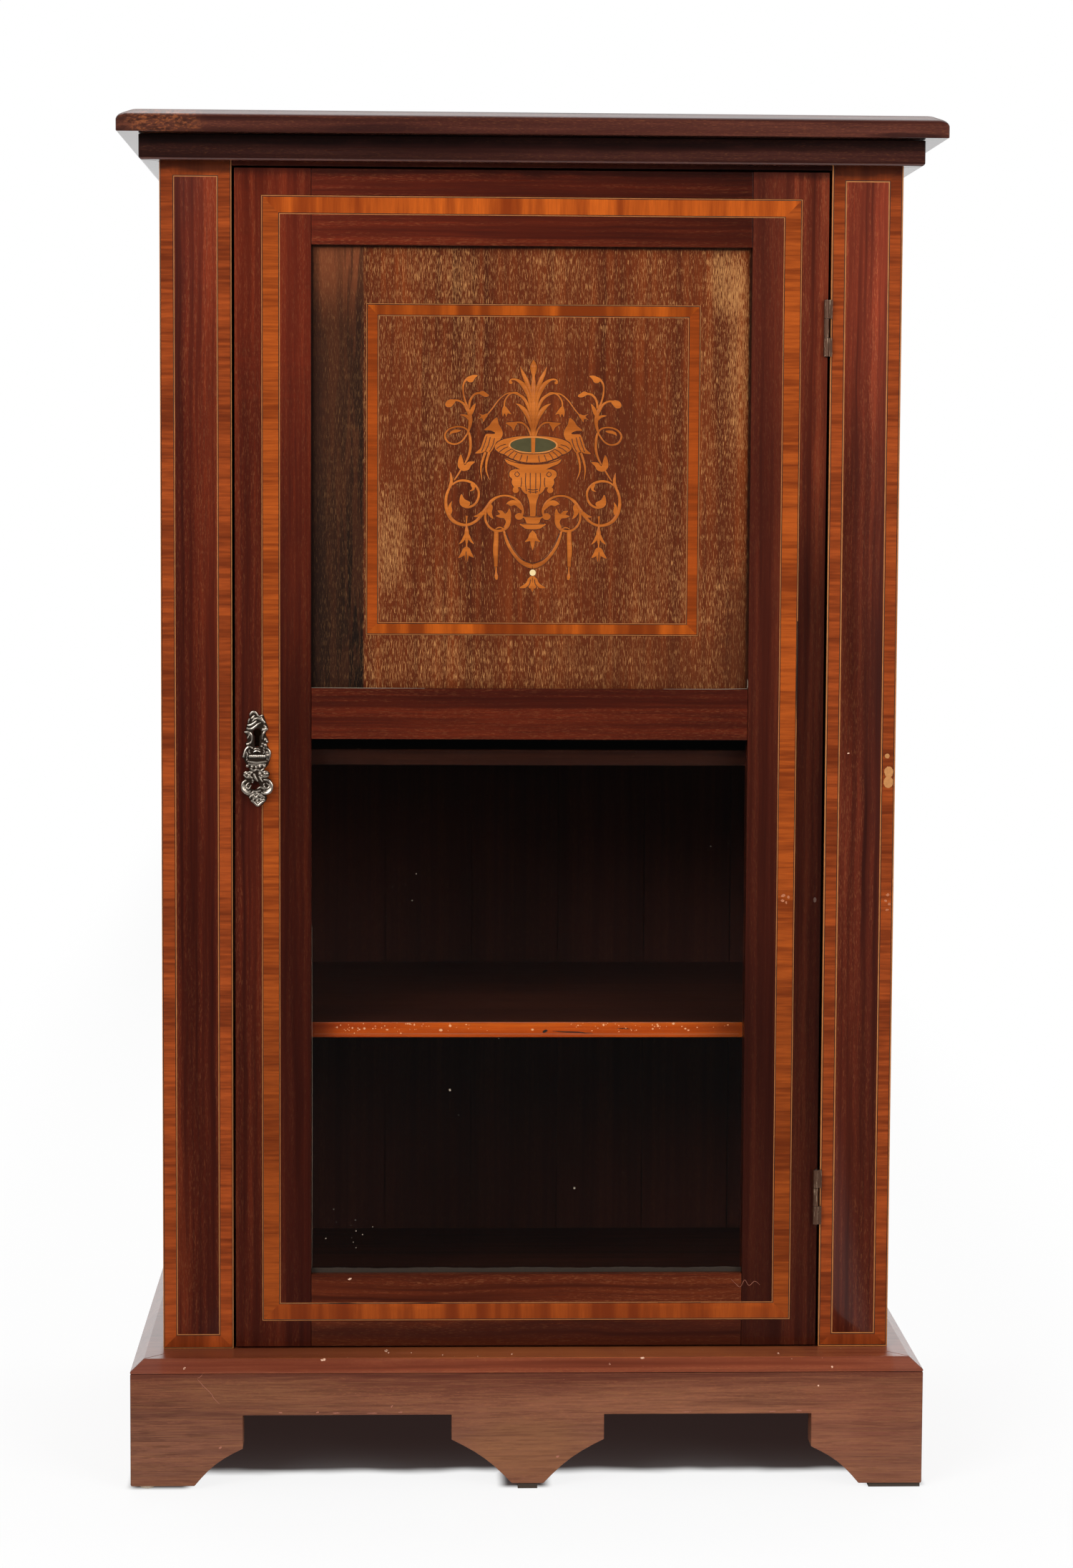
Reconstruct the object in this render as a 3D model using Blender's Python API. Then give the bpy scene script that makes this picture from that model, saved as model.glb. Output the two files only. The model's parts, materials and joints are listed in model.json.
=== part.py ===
"""Inlaid mahogany side cabinet: a carcass on a bracket plinth, with one glazed and panelled door.

Metres, +Z up. X runs to the right, Y to the back, and the door is on the -Y side.
The origin is on the floor, under the middle of the cabinet's outline.
"""

import math

import bmesh
import bpy
from mathutils import Matrix, Vector

# Fit: the clearance kept between pieces that touch, and how far a cutter runs past what it cuts.
FIT = 0.0003
OVERRUN = 0.004

# Carcass
CARCASS_WIDTH = 0.524
CARCASS_DEPTH = 0.350
CARCASS_HEIGHT = 0.865
SIDE_THICKNESS = 0.016
FRAME_THICKNESS = 0.020
STILE_WIDTH = 0.0504
TOP_RAIL_DROP = 0.0205
SUBTOP_THICKNESS = 0.014
BOTTOM_THICKNESS = 0.014
BOTTOM_SETBACK = 0.022
BACK_THICKNESS = 0.007
BACK_BOARD_COUNT = 7
BACK_JOINT_WIDTH = 0.001
BACK_JOINT_DEPTH = 0.002

# Shelves, each held in a housing cut in both sides
SHELF_THICKNESS = 0.0115
SHELF_SETBACK = 0.024
SHELF_HOUSING = 0.005
MIDDLE_SHELF_DROP = 0.0089
SHELF_PITCH = 0.1979

# Top board and the cornice under it
TOP_OVERHANG = 0.028
TOP_EDGE = 0.0115
TOP_BEVEL_RISE = 0.005
TOP_BEVEL_RUN = 0.011
CORNICE_HEIGHT = 0.018
CORNICE_PROJECTION = 0.0134
CORNICE_CHAMFER = 0.0015

# Base: a chamfered cap on a plinth whose front board has two arches and a drop between them
CAP_THICKNESS = 0.009
CAP_CHAMFER_RISE = 0.0075
CAP_CHAMFER_RUN = 0.0092
CAP_FRONT_PROJECTION = 0.037
CAP_SIDE_PROJECTION = 0.0212
CAP_BEARING = 0.033
CAP_BACK_WIDTH = 0.050
PLINTH_THICKNESS = 0.020
PLINTH_HEIGHT = 0.0815
ARCH_RISE = 0.0512
ARCH_INSET = 0.080
FOOT_LENGTH = 0.0455
FOOT_KNEE = 0.027
DROP_HALF_WIDTH = 0.0545
DROP_TIP_HALF_WIDTH = 0.0113
DROP_TIP_LIFT = 0.001
DROP_KNEE = 0.033
KNEE_HOLLOW = 0.003
CORNER_BLOCK_WIDTH = 0.030
CORNER_BLOCK_LIFT = 0.004
CORNER_BLOCK_CHAMFER = 0.012

# What stands on the floor
PAD_THICKNESS = 0.003
PAD_LENGTH = 0.037
PAD_WIDTH = 0.016
PAD_INSET = 0.0012
CENTRE_PAD_LENGTH = 0.014
GLIDE_RADIUS = 0.007
GLIDE_FOOT_RADIUS = 0.003
GLIDE_INSET = 0.0115

# Door
DOOR_SIDE_GAP = 0.002
DOOR_END_GAP = 0.0016
DOOR_THICKNESS = 0.020
DOOR_STILE_WIDTH = 0.0538
DOOR_TOP_RAIL = 0.0529
DOOR_BOTTOM_RAIL = 0.0526
DOOR_MIDDLE_RAIL = 0.0362
UPPER_OPENING = 0.3124
REBATE_LIP = 0.006
REBATE_WIDTH = 0.008
PANEL_THICKNESS = 0.006
GLASS_THICKNESS = 0.003
BEAD_SETBACK = 0.0006
DOOR_STOP_DROP = 0.014
DOOR_STOP_DEPTH = 0.010
DOOR_STOP_INSET = 0.012
DOOR_STOP_GAP = 0.0006

# Inlay: satinwood bands made up with their box and ebony lines, let into shallow grooves
INLAY_THICKNESS = 0.001
STILE_BANDING = 0.0104
STILE_BANDING_TUCK = 0.0034
DOOR_BANDING_MARGIN = 0.0186
DOOR_BANDING = 0.0130
PANEL_BANDING_SIDE = 0.0371
PANEL_BANDING_END = 0.0389
PANEL_BANDING = 0.0088
PANEL_SQUARE_RIGHT = 0.0015
PANEL_SQUARE_DOWN = 0.0013
MARQUETRY_THICKNESS = 0.0005
SCROLL_WIDTH = 0.0030

# The marquetry's urn from top to bottom, and its scroll from its upper end, as shares of half the
# square, from the square's middle
URN_SHARES = (
    (0.0, 0.658), (0.021, 0.622), (0.010, 0.559), (0.009, 0.220), (0.119, 0.200),
    (0.203, 0.176), (0.229, 0.152), (0.212, 0.110), (0.172, 0.067), (0.102, 0.021),
    (0.055, 0.003), (0.141, -0.013), (0.141, -0.059), (0.076, -0.110), (0.031, -0.119),
    (0.029, -0.146), (0.014, -0.269), (0.057, -0.280), (0.042, -0.317), (0.073, -0.324),
    (0.073, -0.342), (0.021, -0.356), (0.034, -0.407), (0.0, -0.477),
)
SCROLL_SHARES = (
    (0.384, 0.549), (0.419, 0.477), (0.399, 0.363), (0.375, 0.238), (0.375, 0.134),
    (0.413, 0.041), (0.457, -0.031), (0.509, -0.114), (0.524, -0.177), (0.514, -0.249),
    (0.467, -0.309), (0.394, -0.330), (0.331, -0.301), (0.279, -0.239), (0.232, -0.177),
    (0.165, -0.154), (0.097, -0.175), (0.065, -0.223), (0.071, -0.265),
)
SCROLL_END_SHARE = 0.35

# Butt hinges, with their knuckles proud of the door's face
HINGE_HEIGHT = 0.040
HINGE_INSET = 0.109
HINGE_SETBACK = 0.0012
HINGE_PROUD = 0.0022
KNUCKLE_RADIUS = 0.0019
HINGE_PIN_RADIUS = 0.0007
HINGE_KNUCKLE_COUNT = 3
LEAF_THICKNESS = 0.0014
LEAF_WIDTH = 0.015
LEAF_PROUD = 0.0001
HINGE_WEB_THICKNESS = 0.0014
HINGE_SCREW_BACKSET = 0.009
HINGE_SCREW_PITCH = 0.013
HINGE_SCREW_COUNT = 3
SCREW_HEAD_RADIUS = 0.0021
SCREW_HEAD_HEIGHT = 0.0003
SCREW_SHANK_RADIUS = 0.0010
SCREW_LENGTH = 0.011

# Lock: a case let into the back of the lock stile, with a sliding bolt
KEYHOLE_RISE = 0.0041
KEYHOLE_BACKSET = 0.0158
KEYHOLE_RADIUS = 0.0030
KEYHOLE_SLOT_WIDTH = 0.0038
KEYHOLE_SLOT_DROP = 0.0095
LOCK_WIDTH = 0.036
LOCK_RISE = 0.017
LOCK_DROP = 0.025
LOCK_DEPTH = 0.011
LOCK_BOLT_LENGTH = 0.024
LOCK_BOLT_HEIGHT = 0.012
LOCK_BOLT_THICKNESS = 0.0045
LOCK_BOLT_DROP = 0.013
LOCK_BOLT_TRAVEL = 0.007
LOCK_BOLT_RECESS = 0.0005
LOCK_SCREW_INSET = 0.0045
LOCK_SCREW_LENGTH = 0.0145
STRIKE_THICKNESS = 0.0012
STRIKE_HEIGHT = 0.032
STRIKE_WIDTH = 0.009
STRIKE_SCREW_PITCH = 0.023
STRIKE_SCREW_LENGTH = 0.009
STRIKE_POCKET = 0.003

# Cast keyhole plate, with a drop pull on a pin between its two ears
PLATE_THICKNESS = 0.0012
PLATE_HALF_WIDTH = 0.0102
PLATE_RISE = 0.0157
PLATE_DROP = 0.0265
EAR_WIDTH = 0.0016
EAR_SPACING = 0.0130
EAR_RADIUS = 0.0018
PULL_PIVOT_DROP = 0.0164
PULL_PIVOT_PROUD = 0.0036
PULL_LENGTH = 0.0356
PULL_HALF_WIDTH = 0.0107
PULL_THICKNESS = 0.0022
PULL_BARREL_RADIUS = 0.0016
PULL_PIN_RADIUS = 0.0006
NAIL_HEAD_RADIUS = 0.0011
NAIL_HEAD_HEIGHT = 0.0007
NAIL_SHANK_RADIUS = 0.0005
NAIL_LENGTH = 0.007

# Half outlines from top to bottom, as shares of (half width, height from the keyhole's centre)
PLATE_UPPER_SHARES = (
    (0.0, 0.88), (0.25, 1.0), (0.47, 0.94), (0.52, 0.70), (0.68, 0.48), (0.70, 0.30),
    (0.84, 0.12),
)
PLATE_LOWER_SHARES = (
    (0.76, 0.14), (0.76, 0.26), (0.92, 0.44), (1.0, 0.62), (0.88, 0.79), (0.60, 0.90),
    (0.0, 1.0),
)
# Half outline of the pull below its barrel, as shares of (half width, length)
PULL_SHARES = (
    (0.46, 0.02), (0.46, 0.065), (0.54, 0.08), (0.54, 0.17), (0.48, 0.24), (0.84, 0.33),
    (0.78, 0.41), (0.90, 0.49), (1.0, 0.585), (0.95, 0.69), (0.72, 0.755), (0.53, 0.84),
    (0.25, 0.93), (0.0, 1.0),
)
NAIL_PLACE_SHARES = ((0.0, 0.62), (-0.70, 0.12), (0.70, 0.12))

# Facets of round pieces
ROUND_SIDES = 16
SMALL_SIDES = 8
KNEE_STEPS = 6
SCROLL_STEPS = 3
DOME_SHARE = 0.7
SMOOTH_ANGLE = math.radians(35)

# Colours, roughness and metallic value of the materials
MAHOGANY = ("mahogany", (0.085, 0.022, 0.012), 0.34, 0.0)
PALE_MAHOGANY = ("plinth_mahogany", (0.160, 0.062, 0.032), 0.42, 0.0)
FADED_MAHOGANY = ("faded_mahogany", (0.190, 0.082, 0.036), 0.48, 0.0)
CARCASS_WOOD = ("carcass_wood", (0.150, 0.075, 0.035), 0.62, 0.0)
SHELF_WOOD = ("shelf_wood", (0.330, 0.105, 0.030), 0.50, 0.0)
SATINWOOD = ("satinwood", (0.400, 0.130, 0.026), 0.36, 0.0)
BOXWOOD = ("boxwood", (0.460, 0.220, 0.085), 0.40, 0.0)
GLASS = ("glass", (0.030, 0.026, 0.022), 0.05, 0.0)
BRASS = ("aged_brass", (0.250, 0.200, 0.150), 0.42, 0.9)
NICKEL = ("old_nickel", (0.480, 0.440, 0.380), 0.30, 1.0)
STEEL = ("steel", (0.300, 0.290, 0.280), 0.40, 1.0)
PAD_WOOD = ("pad_wood", (0.070, 0.050, 0.035), 0.80, 0.0)
PALE_GLIDE = ("pale_glide", (0.700, 0.660, 0.580), 0.50, 0.0)

# Levels and planes that several pieces share
LEDGE_Z = PAD_THICKNESS + PLINTH_HEIGHT + CAP_THICKNESS
UNDER_TOP_Z = LEDGE_Z + CARCASS_HEIGHT
HALF_WIDTH = CARCASS_WIDTH / 2
FRONT_Y = -(CARCASS_DEPTH - CAP_FRONT_PROJECTION) / 2
BACK_Y = FRONT_Y + CARCASS_DEPTH
STILE_INNER_X = HALF_WIDTH - STILE_WIDTH
SIDE_INNER_X = HALF_WIDTH - SIDE_THICKNESS
INSIDE_BACK_Y = BACK_Y - BACK_THICKNESS - FIT
CORNICE_Z = UNDER_TOP_Z - CORNICE_HEIGHT
DOOR_HALF_WIDTH = STILE_INNER_X - DOOR_SIDE_GAP
DOOR_LOW_Z = LEDGE_Z + DOOR_END_GAP
DOOR_HIGH_Z = UNDER_TOP_Z - TOP_RAIL_DROP - DOOR_END_GAP
DOOR_BACK_Y = FRONT_Y + DOOR_THICKNESS
OPENING_X = DOOR_HALF_WIDTH - DOOR_STILE_WIDTH
LOWER_OPENING_LOW_Z = DOOR_LOW_Z + DOOR_BOTTOM_RAIL
UPPER_OPENING_HIGH_Z = DOOR_HIGH_Z - DOOR_TOP_RAIL
UPPER_OPENING_LOW_Z = UPPER_OPENING_HIGH_Z - UPPER_OPENING
LOWER_OPENING_HIGH_Z = UPPER_OPENING_LOW_Z - DOOR_MIDDLE_RAIL
PANEL_SQUARE_Z = (UPPER_OPENING_LOW_Z + UPPER_OPENING_HIGH_Z) / 2 - PANEL_SQUARE_DOWN
PANEL_SQUARE_HALF_WIDTH = OPENING_X - PANEL_BANDING_SIDE
PANEL_SQUARE_HALF_HEIGHT = UPPER_OPENING / 2 - PANEL_BANDING_END
PANEL_FACE_Y = FRONT_Y + REBATE_LIP + FIT
BASE_HALF_WIDTH = HALF_WIDTH + CAP_SIDE_PROJECTION
BASE_FRONT_Y = FRONT_Y - CAP_FRONT_PROJECTION
HINGE_X = DOOR_HALF_WIDTH - HINGE_SETBACK
HINGE_Y = FRONT_Y - HINGE_PROUD
KEYHOLE_X = -DOOR_HALF_WIDTH + KEYHOLE_BACKSET
KEYHOLE_Z = LOWER_OPENING_HIGH_Z + KEYHOLE_RISE
PLATE_BACK_Y = FRONT_Y - FIT
PULL_Y = FRONT_Y - PULL_PIVOT_PROUD
PULL_Z = KEYHOLE_Z - PULL_PIVOT_DROP
BOLT_Y = DOOR_BACK_Y - LOCK_DEPTH / 2
BOLT_Z = KEYHOLE_Z - LOCK_BOLT_DROP
GROOVE_DEPTH = INLAY_THICKNESS + FIT
HINGE_SCREW = (SCREW_HEAD_RADIUS, SCREW_HEAD_HEIGHT, SCREW_SHANK_RADIUS, SCREW_LENGTH)
LOCK_SCREW = (SCREW_HEAD_RADIUS, SCREW_HEAD_HEIGHT, SCREW_SHANK_RADIUS, LOCK_SCREW_LENGTH)
STRIKE_SCREW = (SCREW_HEAD_RADIUS, SCREW_HEAD_HEIGHT, SCREW_SHANK_RADIUS, STRIKE_SCREW_LENGTH)
PLATE_NAIL = (NAIL_HEAD_RADIUS, NAIL_HEAD_HEIGHT, NAIL_SHANK_RADIUS, NAIL_LENGTH)

# Materials and objects


def material(spec):
    """The material of that name, made when first asked for."""
    name, colour, roughness, metallic = spec
    found = bpy.data.materials.get(name)
    if found:
        return found
    made = bpy.data.materials.new(name)
    made.use_nodes = True
    shader = made.node_tree.nodes["Principled BSDF"]
    shader.inputs["Base Color"].default_value = (*colour, 1.0)
    shader.inputs["Roughness"].default_value = roughness
    shader.inputs["Metallic"].default_value = metallic
    return made


def finish(name, bm, spec=None, pivot=None, smooth=False):
    """Turns a bmesh drawn in world places into an object, with the pivot's origin if it has one."""
    bmesh.ops.recalc_face_normals(bm, faces=bm.faces)
    mesh = bpy.data.meshes.new(name)
    bm.to_mesh(mesh)
    bm.free()
    made = bpy.data.objects.new(name, mesh)
    bpy.context.scene.collection.objects.link(made)
    if spec:
        mesh.materials.append(material(spec))
    if pivot:
        mesh.transform(Matrix.Translation(-pivot.location))
        made.parent = pivot
    if smooth:
        mesh.shade_smooth()
        mesh.set_sharp_from_angle(angle=SMOOTH_ANGLE)
    return made


def cutter(name, bm):
    """A hidden object that cuts others, or is joined to them."""
    made = finish(name, bm)
    made.hide_render = True
    made.display_type = "WIRE"
    return made


def combine(piece, tool, operation="DIFFERENCE"):
    """Cuts the piece with the tool, or joins the tool to it."""
    step = piece.modifiers.new(tool.name, "BOOLEAN")
    step.operation = operation
    step.solver = "EXACT"
    step.object = tool


def pivot_at(name, place):
    """An empty on a joint's axis, which the moving pieces hang on."""
    made = bpy.data.objects.new(name, None)
    made.location = place
    bpy.context.scene.collection.objects.link(made)
    return made


# Shapes, each drawn into a bmesh in world places


def prism(bm, outline, axis, start, end):
    """An outline pushed along an axis; its points are the other two coordinates in order."""
    places = {
        "x": lambda a, u, v: (a, u, v),
        "y": lambda a, u, v: (u, a, v),
        "z": lambda a, u, v: (u, v, a),
    }
    place = places[axis]
    near = [bm.verts.new(place(start, u, v)) for u, v in outline]
    far = [bm.verts.new(place(end, u, v)) for u, v in outline]
    bm.faces.new(near)
    bm.faces.new(far[::-1])
    for this in range(len(near)):
        after = (this + 1) % len(near)
        bm.faces.new((near[after], near[this], far[this], far[after]))


def box(bm, xs, ys, zs):
    """A box between two values along each axis."""
    corners = ((xs[0], ys[0]), (xs[1], ys[0]), (xs[1], ys[1]), (xs[0], ys[1]))
    prism(bm, corners, "z", *zs)


def turned(bm, profile, axis, centre, sides=ROUND_SIDES):
    """A profile of (radius, place along the axis), from axis to axis, turned about the centre."""
    turns = {
        "x": lambda r, h, c, s: (h, centre[1] + r * c, centre[2] + r * s),
        "y": lambda r, h, c, s: (centre[0] + r * c, h, centre[2] + r * s),
        "z": lambda r, h, c, s: (centre[0] + r * c, centre[1] + r * s, h),
    }
    place = turns[axis]
    angles = [math.tau * step / sides for step in range(sides)]
    rows = []
    for radius, height in profile:
        around = angles if radius > 0 else angles[:1]
        rows.append([bm.verts.new(place(radius, height, math.cos(a), math.sin(a))) for a in around])
    for low, high in zip(rows, rows[1:]):
        for this in range(sides):
            after = (this + 1) % sides
            corners = [low[this % len(low)], low[after % len(low)]]
            corners += [high[after % len(high)], high[this % len(high)]]
            bm.faces.new(list(dict.fromkeys(corners)))


def rod(bm, radius, axis, centre, start, end, sides=ROUND_SIDES):
    """A round rod along an axis."""
    turned(bm, ((0, start), (radius, start), (radius, end), (0, end)), axis, centre, sides)


def loft(bm, rings):
    """A solid through rings of as many points each, closed at both ends."""
    rows = [[bm.verts.new(point) for point in ring] for ring in rings]
    bm.faces.new(rows[0])
    bm.faces.new(rows[-1][::-1])
    for low, high in zip(rows, rows[1:]):
        for this in range(len(low)):
            after = (this + 1) % len(low)
            bm.faces.new((low[after], low[this], high[this], high[after]))


def frame_prism(bm, outer, inner, start, end):
    """A rectangular ring in the XZ plane, from start to end along Y."""
    rows = []
    for depth in (start, end):
        for rect in (outer, inner):
            corners = ((0, 2), (1, 2), (1, 3), (0, 3))
            rows.append([bm.verts.new((rect[i], depth, rect[j])) for i, j in corners])
    near_out, near_in, far_out, far_in = rows
    for this in range(4):
        after = (this + 1) % 4
        bm.faces.new((near_out[this], near_out[after], near_in[after], near_in[this]))
        bm.faces.new((far_out[after], far_out[this], far_in[this], far_in[after]))
        bm.faces.new((near_out[after], near_out[this], far_out[this], far_out[after]))
        bm.faces.new((near_in[this], near_in[after], far_in[after], far_in[this]))


def inset(rect, amount):
    """A rectangle (x low, x high, z low, z high) drawn in by an amount on each side."""
    return (rect[0] + amount, rect[1] - amount, rect[2] + amount, rect[3] - amount)


def corner_mitre(bm, corner_x, corner_y, keeps_front):
    """Mitres the end of a front piece, or of a side piece, at an outer corner of the plan."""
    side = math.copysign(1.0, corner_x)
    outward = Vector((side, 1.0, 0.0)) if keeps_front else Vector((-side, -1.0, 0.0))
    outward.normalize()
    place = Vector((corner_x, corner_y, 0.0)) - outward * FIT / 2
    parts = [*bm.verts, *bm.edges, *bm.faces]
    bmesh.ops.bisect_plane(
        bm, geom=parts, dist=FIT / 100, plane_co=place, plane_no=outward, clear_outer=True
    )
    bmesh.ops.holes_fill(bm, edges=bm.edges)


def front_and_sides(names, profile, half_width, front_y, spec):
    """Three mitred lengths of a moulding: the front one, and the one down each side.

    The profile gives, for each point, how far in from the outer face it lies and its height.
    """
    bm = bmesh.new()
    prism(bm, [(front_y + depth, height) for depth, height in profile], "x", -half_width, half_width)
    for side in (-1, 1):
        corner_mitre(bm, side * half_width, front_y, True)
    finish(names[0], bm, spec)
    for name, side in zip(names[1:], (-1, 1)):
        bm = bmesh.new()
        outline = [(side * (half_width - depth), height) for depth, height in profile]
        prism(bm, outline, "y", front_y, BACK_Y)
        corner_mitre(bm, side * half_width, front_y, False)
        finish(name, bm, spec)


def fastener(bm, axis, centre, face, inward, spec):
    """A screw or nail driven through a plate whose outer face is given, its head just proud."""
    head_radius, head_height, shank_radius, length = spec
    crown = face - inward * head_height
    under = face + inward * FIT
    end = face + inward * length
    profile = (
        (0, crown),
        (head_radius * DOME_SHARE, crown),
        (head_radius, under),
        (shank_radius, under),
        (shank_radius, end),
        (0, end),
    )
    turned(bm, profile, axis, centre, SMALL_SIDES)


def fastener_hole(bm, axis, centre, face, inward, spec):
    """The hole in the wood for the same screw or nail."""
    head_radius, head_height, shank_radius, length = spec
    rod(bm, shank_radius + FIT, axis, centre, face, face + inward * (length + FIT), SMALL_SIDES)


# Base


def foot_curve(start, end):
    """Points of a hollow curve from a knee down to the foot's corner."""
    start = Vector(start)
    end = Vector(end)
    across = (end - start).orthogonal().normalized()
    if across.y < 0:
        across = -across
    points = []
    for step in range(KNEE_STEPS + 1):
        share = step / KNEE_STEPS
        hollow = across * KNEE_HOLLOW * math.sin(math.pi * share)
        points.append(tuple(start.lerp(end, share) + hollow))
    return points


def plinth_front_outline():
    """The plinth's front board seen from the front: two feet, two arches and the middle drop."""
    low = PAD_THICKNESS
    high = low + PLINTH_HEIGHT - FIT
    half = BASE_HALF_WIDTH
    arch_x = half - ARCH_INSET
    arch_z = low + ARCH_RISE
    foot = foot_curve((arch_x, low + FOOT_KNEE), (half - FOOT_LENGTH, low))
    tip = (DROP_TIP_HALF_WIDTH, low + DROP_TIP_LIFT)
    drop = foot_curve((DROP_HALF_WIDTH, low + DROP_KNEE), tip)
    right = [(half, high), (half, low), *foot[::-1], (arch_x, arch_z), (DROP_HALF_WIDTH, arch_z)]
    right += drop
    left = [(-x, z) for x, z in right[::-1]]
    return right + left


def make_plinth():
    """Four boards round the base, the front one with its arches."""
    bm = bmesh.new()
    prism(bm, plinth_front_outline(), "y", BASE_FRONT_Y, BASE_FRONT_Y + PLINTH_THICKNESS)
    for side in (-1, 1):
        corner_mitre(bm, side * BASE_HALF_WIDTH, BASE_FRONT_Y, True)
    finish("plinth_front", bm, PALE_MAHOGANY)
    levels = (PAD_THICKNESS, PAD_THICKNESS + PLINTH_HEIGHT - FIT)
    inner_x = BASE_HALF_WIDTH - PLINTH_THICKNESS
    for name, side in (("plinth_left", -1), ("plinth_right", 1)):
        bm = bmesh.new()
        xs = sorted((side * BASE_HALF_WIDTH, side * inner_x))
        box(bm, xs, (BASE_FRONT_Y, BACK_Y), levels)
        corner_mitre(bm, side * BASE_HALF_WIDTH, BASE_FRONT_Y, False)
        finish(name, bm, PALE_MAHOGANY)
    bm = bmesh.new()
    box(bm, (-inner_x + FIT, inner_x - FIT), (BACK_Y - PLINTH_THICKNESS, BACK_Y), levels)
    finish("plinth_back", bm, CARCASS_WOOD)


def make_base_cap():
    """The chamfered frame that the carcass stands on, and the rail across its back."""
    low = LEDGE_Z - CAP_THICKNESS
    reach = CAP_FRONT_PROJECTION + CAP_BEARING
    profile = (
        (0, low),
        (0, LEDGE_Z - CAP_CHAMFER_RISE),
        (CAP_CHAMFER_RUN, LEDGE_Z),
        (reach, LEDGE_Z),
        (reach, low),
    )
    names = ("base_cap_front", "base_cap_left", "base_cap_right")
    front_and_sides(names, profile, BASE_HALF_WIDTH, BASE_FRONT_Y, PALE_MAHOGANY)
    half = BASE_HALF_WIDTH - reach - FIT
    bm = bmesh.new()
    box(bm, (-half, half), (BACK_Y - CAP_BACK_WIDTH, BACK_Y), (low, LEDGE_Z))
    finish("base_cap_back", bm, CARCASS_WOOD)


def make_corner_blocks():
    """Glue blocks behind the plinth's two front corners."""
    outer_x = BASE_HALF_WIDTH - PLINTH_THICKNESS - FIT
    inner_x = outer_x - CORNER_BLOCK_WIDTH
    wall_y = BASE_FRONT_Y + PLINTH_THICKNESS + FIT
    far_y = wall_y + CORNER_BLOCK_WIDTH
    levels = (PAD_THICKNESS + CORNER_BLOCK_LIFT, PAD_THICKNESS + PLINTH_HEIGHT - FIT)
    for name, side in (("corner_block_left", -1), ("corner_block_right", 1)):
        outline = (
            (side * outer_x, wall_y),
            (side * inner_x, wall_y),
            (side * inner_x, far_y - CORNER_BLOCK_CHAMFER),
            (side * (inner_x + CORNER_BLOCK_CHAMFER), far_y),
            (side * outer_x, far_y),
        )
        bm = bmesh.new()
        prism(bm, outline, "z", *levels)
        finish(name, bm, CARCASS_WOOD)


def make_feet():
    """Pads under the plinth, and the domed glide under its front left corner."""
    high = PAD_THICKNESS - FIT
    outer = BASE_HALF_WIDTH - PAD_INSET
    half = CENTRE_PAD_LENGTH / 2
    front_ys = (BASE_FRONT_Y + PAD_INSET, BASE_FRONT_Y + PAD_INSET + PAD_WIDTH)
    back_ys = (BACK_Y - PAD_INSET - PAD_LENGTH, BACK_Y - PAD_INSET)
    pads = {
        "pad_front_right": ((outer - PAD_LENGTH, outer), front_ys, high),
        "pad_front_middle": ((-half, half), front_ys, high + DROP_TIP_LIFT),
        "pad_back_right": ((outer - PAD_WIDTH, outer), back_ys, high),
        "pad_back_left": ((-outer, PAD_WIDTH - outer), back_ys, high),
    }
    for name, (xs, ys, top) in pads.items():
        bm = bmesh.new()
        box(bm, xs, ys, (0, top))
        finish(name, bm, PAD_WOOD)
    shoulder = (GLIDE_FOOT_RADIUS + GLIDE_RADIUS) / 2
    profile = ((0, 0), (GLIDE_FOOT_RADIUS, 0), (shoulder, high / 4), (GLIDE_RADIUS, high), (0, high))
    centre = (GLIDE_INSET - BASE_HALF_WIDTH, BASE_FRONT_Y + PAD_INSET + GLIDE_RADIUS, 0)
    bm = bmesh.new()
    turned(bm, profile, "z", centre)
    finish("glide_front_left", bm, PALE_GLIDE, smooth=True)


# Carcass


def stile_rect(side):
    """The face of a stile that its banding goes round, which ends behind the cornice."""
    inner, outer = sorted((side * STILE_INNER_X, side * HALF_WIDTH))
    return (inner, outer, LEDGE_Z + FIT, CORNICE_Z + STILE_BANDING_TUCK)


def make_stile(name, side):
    """One front post, with the groove for its banding open to its edges and its lower end."""
    xs = sorted((side * STILE_INNER_X, side * HALF_WIDTH))
    bm = bmesh.new()
    box(bm, xs, (FRONT_Y, FRONT_Y + FRAME_THICKNESS), (LEDGE_Z + FIT, UNDER_TOP_Z - FIT))
    stile = finish(name, bm, MAHOGANY)
    rect = stile_rect(side)
    outer = (rect[0] - OVERRUN, rect[1] + OVERRUN, rect[2] - OVERRUN, rect[3])
    bm = bmesh.new()
    frame_prism(bm, outer, inset(rect, STILE_BANDING), FRONT_Y - OVERRUN, FRONT_Y + GROOVE_DEPTH)
    combine(stile, cutter(name + "_groove", bm))
    return stile


def make_stile_banding(name, side):
    """The banding round one stile, as one mitred frame."""
    rect = stile_rect(side)
    outer = (rect[0], rect[1], rect[2], rect[3] - FIT)
    bm = bmesh.new()
    inner = inset(rect, STILE_BANDING - FIT)
    frame_prism(bm, outer, inner, FRONT_Y, FRONT_Y + INLAY_THICKNESS)
    return finish(name, bm, SATINWOOD)


def shelf_tops():
    """The level of each shelf's upper face, by its name."""
    middle = LOWER_OPENING_HIGH_Z - MIDDLE_SHELF_DROP
    return {
        "shelf_lower": middle - SHELF_PITCH,
        "shelf_middle": middle,
        "shelf_upper": middle + SHELF_PITCH,
    }


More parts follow.
